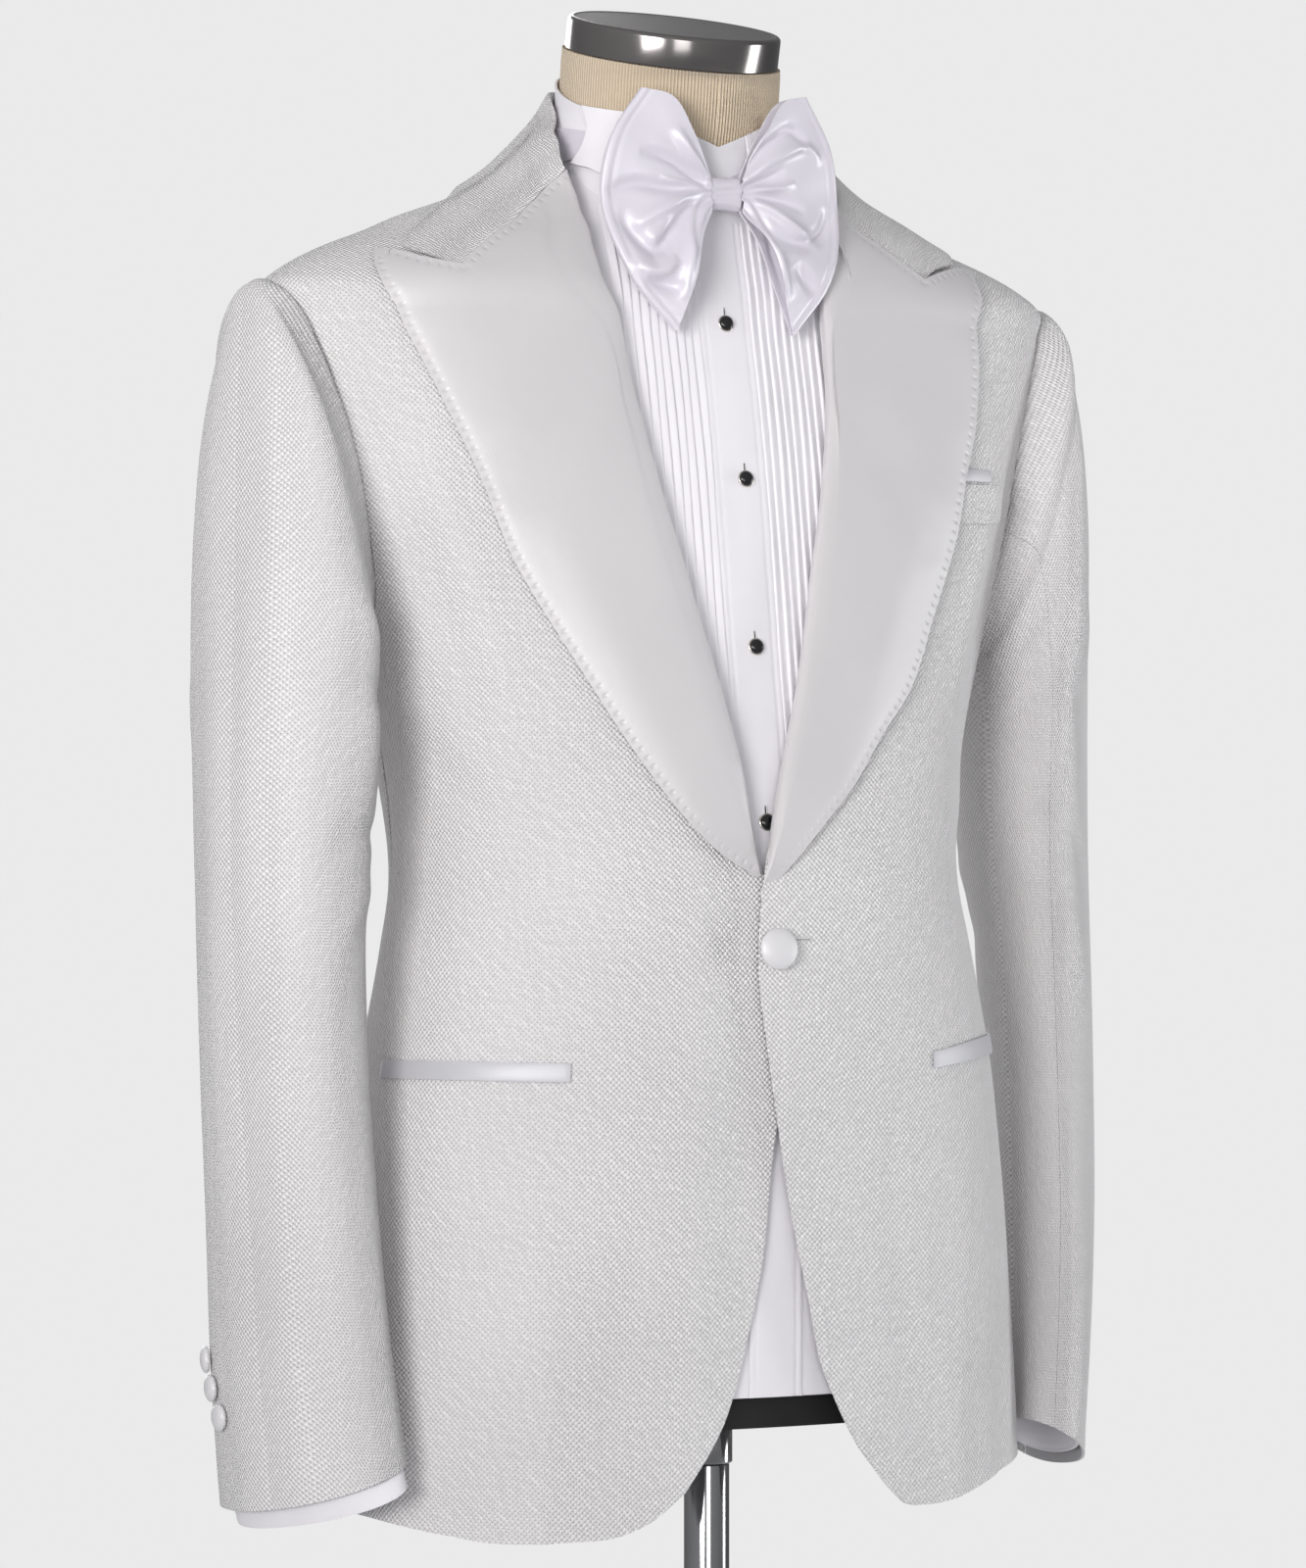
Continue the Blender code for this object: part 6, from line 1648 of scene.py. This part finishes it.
small = dome(SLEEVE_BUTTON_RADIUS, 0.0046)
from_above(small)
for side in "lr":
    for k in range(3):
        at, here = LAST_RING - (FIRST_BUTTON_UP + BUTTON_PITCH * k) / RING_TALL, 120 + 5 * k
        share = np.array([here / RING_STEPS, (at + HEAD_REACH) / (LAST_RING + HEAD_REACH)])
        lift = float(sleeve_lift(side, share[None, None])[0, 0])
        ring, lower = sleeve_ring(at, RING_STEPS), sleeve_ring(at + 0.05, RING_STEPS)[here]
        facing = np.cross(ring[here + 4] - ring[here - 4], ring[here] - lower)
        facing = unit(facing * np.sign(facing @ (ring[here] - ring.mean(axis=0))))
        name = f"sleeve_button_{side}{k + 1}"
        one = copied(small)
        placed(one, sided(ring[here] + facing * lift, side), sided(facing, side))
        hard(one, name + "_cover", "button_satin", "button_satin", 60, name)
bpy.data.objects.remove(small)

# %% [markdown]
# ## Studs and buttonholes
# Formal shirts close with studs instead of buttons: here a polished black dome in a thin silver rim. Above each
# one a little of its upright buttonhole shows, a narrow ring of close stitches with a thin black strip of painted
# shade in its slit. The jacket's buttonhole lies level beside its button, with a grey strip of painted shade in
# its slit.

# %% Studs and buttonholes
STUDS = ((0.0000, 1.3735), (0.0030, 1.2877), (0.0017, 1.1960), (0.0000, 1.1005))
HOLE_LONG = 0.0062
stud = dome(0.0040, 0.0027)
stud.data.materials.append(finishes["black_enamel"])
bpy.ops.mesh.primitive_torus_add(major_radius=0.0042, minor_radius=0.0006, major_segments=64, minor_segments=16,
                                 location=(0, 0, 0.0006))
rim = bpy.context.object
rim.data.materials.append(finishes["stud_silver"])
join(stud, rim)

bpy.ops.mesh.primitive_torus_add(major_radius=0.00075, minor_radius=0.00034, major_segments=24, minor_segments=8)
hole_ring = bpy.context.object
hole_ring.data.materials.append(finishes["white_thread"])
for vertex in hole_ring.data.vertices:
    vertex.co.y += HOLE_LONG if vertex.co.y > 1e-6 else 0
# painted shade: a thin black strip inside the buttonhole ring stands for the shade in its slit
bpy.ops.mesh.primitive_cube_add(size=1, location=(0, HOLE_LONG / 2, -0.00002), scale=(0.0006, 0.0066, 0.0002))
painted_shade_slit = bpy.context.object
painted_shade_slit.data.materials.append(finishes["black_enamel"])
bpy.ops.object.transform_apply(location=True, rotation=False, scale=True)
join(hole_ring, painted_shade_slit)

for k, spot in enumerate(from_x(STUDS), 1):
    one = copied(stud)
    placed(one, surface(spot, float(shirt_out(spot)) + 0.0010), facing_out(spot))
    hard(one, f"stud_{k}_set", None, "stud", 60, f"stud_{k}")
    above = spot + np.array([0, 0.0022])
    one = copied(hole_ring)
    placed(one, surface(above, float(shirt_out(above)) + 0.0009), facing_out(spot))
    hard(one, f"stud_hole_{k}", None, "shirt_cloth", 60)
one = copied(hole_ring)
for vertex in one.data.vertices:
    vertex.co.y *= 1.6
# painted shade: the slit of the jacket's buttonhole gets the grey lining satin as the shade inside it
one.data.materials[1] = finishes["lining_satin"]
placed(one, *on_left_front(np.array([1.7, FRONT_BUTTON[1] + 0.0050]), 0.0003), math.radians(-90))
hard(one, "front_button_hole", None, "jacket_cloth", 60)
for used in (stud, hole_ring):
    bpy.data.objects.remove(used)

# %% [markdown]
# ## Dress form
# The form is a padded body under ribbed jersey. Only its neck and its bottom band look out of the clothes. The
# neck ends in a turned metal cap that leans a little forward, polished on its side and brushed on its top.

# %% Dress form
FORM_FOOT, BAND_TOP = 0.772, 0.788
CAP_RADIUS, CAP_THICK, CAP_HEIGHT, NECK_TILT, NECK_RADIUS = 0.0597, 0.018, 1.5248, math.radians(14), 0.0615
FORM_NECK = (
    (1.426, 0.1120, 0.0005, 0.1260), (1.436, 0.0880, -0.0010, 0.1225), (1.446, 0.0720, -0.0040, 0.1190),
    (1.457, 0.0640, -0.0070, 0.1155), (1.469, 0.0620, -0.0098, 0.1130), (1.484, 0.0615, -0.0134, 0.1098),
    (1.505, 0.0615, -0.0162, 0.1068),
)


def form_ring(around, height):
    """A level ring of the form, at angles from 0 to 360."""
    places = stack(np.where(around > 180, around - 360, around), height)
    return surface(places, -depth("form", places))


def closed_form(name, rings, cell=None):
    """A mesh through a stack of rings, with both ends closed."""
    rows, columns = rings.shape[:2]
    corners = cells_of(rows, columns, True)
    maps = [("cloth", np.stack([np.stack([j, i], axis=1) for i, j in corners], axis=1) * cell)] if cell else []
    made = mesh_of(name, rings.reshape(-1, 3), faces_of(corners, columns), maps)
    only(made)
    edit("DESELECT")
    bpy.ops.mesh.select_mode(type="EDGE")
    bpy.ops.mesh.select_non_manifold()
    bpy.ops.mesh.edge_face_add()
    bpy.ops.mesh.select_all(action="SELECT")
    bpy.ops.mesh.normals_make_consistent(inside=False)
    edited()
    return made


around = np.linspace(0, 360, 160, endpoint=False)
swing = np.radians(around)
levels = (BAND_TOP + 0.0006, 0.87, 0.97, 1.066, 1.13, 1.20, 1.28, 1.34, 1.372, 1.390, 1.405, 1.420)
table = [form_ring(around, level) for level in levels]
table[0][:, 2] = levels[0]
for height, half_width, front, back in FORM_NECK:
    middle, half_depth = (front + back) / 2, (back - front) / 2
    table.append(stack(half_width * np.sin(swing), middle - half_depth * np.cos(swing), height))
tilt_y, tilt_z = math.cos(NECK_TILT), math.sin(NECK_TILT)
cap_centre = np.array([0, NECK_Y + NECK_LEAN * (CAP_HEIGHT - 1.5), CAP_HEIGHT])
table.append(cap_centre + NECK_RADIUS * stack(np.sin(swing), -np.cos(swing) * tilt_y, -np.cos(swing) * tilt_z))
table = np.array(table)
reach = np.concatenate([[0], np.cumsum(np.linalg.norm(np.diff(table, axis=0), axis=-1).mean(axis=1))])
rings = smooth(reach, table, np.linspace(0, reach[-1], 130))
rim_in = rings[-1] + (cap_centre - rings[-1]) * 0.03
rings = np.concatenate([rings[:-1], (rings[-1] * 0.995 + cap_centre * 0.005)[None], rim_in[None]])
torso = closed_form("form_torso_cover", rings, (2 * math.pi * NECK_RADIUS / len(around), reach[-1] / len(rings)))
hard(torso, "form_torso_cover", "ribbed_jersey", "form_jersey", 50, "form_torso")

ring, band_rings = form_ring(around, BAND_TOP), []
for level in np.linspace(FORM_FOOT, BAND_TOP, 9):
    swell = 0.0008 - 0.006 * abs((level - FORM_FOOT) / (BAND_TOP - FORM_FOOT) - 0.5) ** 3
    band_rings.append(ring + (ring - ring.mean(axis=0)) * swell)
    band_rings[-1][:, 2] = level
band = closed_form("form_band_ring", np.array(band_rings))
hard(band, "form_band_ring", "black_band", "form_band", 40, "form_band")

# %% [markdown]
# ## Cap, pole and base
# These are turned metal: cylinders whose rims are broken with a small bevel, which is what catches the light on
# real metal. The cap's top has a shallow step inside its rim.

# %% Turned metal


def rim_edges(thing, level, radius):
    """Selects the round of edges at a level and a radius."""
    mesh = thing.data
    for edge in mesh.edges:
        ends = [mesh.vertices[i].co for i in edge.vertices]
        edge.select = all(abs(p.z - level) < 1e-5 and abs(p.to_2d().length - radius) < 1e-5 for p in ends)


def turned_piece(radius, low, high, bevel, vertices, foot_bevel=None):
    """A cylinder from one level to another, with both rims bevelled."""
    bpy.ops.mesh.primitive_cylinder_add(vertices=vertices, radius=radius, depth=high - low, location=(0, 0, 0))
    made = bpy.context.object
    edit()
    bpy.ops.transform.translate(value=(0, 0, (low + high) / 2))
    bpy.ops.mesh.select_mode(type="EDGE")
    for level, size in ((high, bevel), (low, foot_bevel or bevel * 0.4)):
        bpy.ops.mesh.select_all(action="DESELECT")
        edited()
        rim_edges(made, level, radius)
        bpy.ops.object.mode_set(mode="EDIT")
        bpy.ops.mesh.bevel(offset=size, segments=5, affect="EDGES")
    edited()
    return made


cap = turned_piece(CAP_RADIUS, 0.0004, CAP_THICK + 0.0004, 0.0026, 128, 0.0004)
cap.data.materials.append(finishes["dark_chrome"])
cap.data.materials.append(finishes["cap_top"])
edit("DESELECT")
bpy.ops.mesh.select_mode(type="FACE")
edited()
for polygon in cap.data.polygons:
    polygon.select = polygon.normal.z > 0.99 and len(polygon.vertices) > 20
    polygon.material_index = int(polygon.select)
bpy.ops.object.mode_set(mode="EDIT")
bpy.ops.mesh.inset(thickness=0.0012)
bpy.ops.transform.translate(value=(0, 0, -0.0004))
bpy.ops.mesh.inset(thickness=0.0010)
edited()
placed(cap, cap_centre, (0, -tilt_z, tilt_y))
hard(cap, "neck_cap_turned", None, "cap_metal", 30, "neck_cap")

BASE_RADIUS, BASE_THICK, POLE_RADIUS, TUBE_RADIUS, TUBE_FOOT = 0.170, 0.008, 0.0125, 0.0142, 0.746
base = turned_piece(BASE_RADIUS, 0.0, BASE_THICK, 0.0026, 160)
hard(base, "base_plate_turned", "base_steel", "stand_metal", 30, "base_plate")
pole = turned_piece(POLE_RADIUS, BASE_THICK + 0.0004, TUBE_FOOT - 0.0004, 0.0008, 64)
hard(pole, "pole_turned", "pole_steel", "stand_metal", 30, "pole")
tube = turned_piece(TUBE_RADIUS, TUBE_FOOT, FORM_FOOT - 0.0004, 0.0008, 64, 0.0010)
hard(tube, "pole_tube_turned", "pole_steel", "stand_metal", 30, "pole_tube")
print("metal pieces: cap, base, pole, tube")

# %% Finish
for name, made in finishes.items():
    made.diffuse_color = made.node_tree.nodes["Principled BSDF"].inputs["Base Color"].default_value[:]
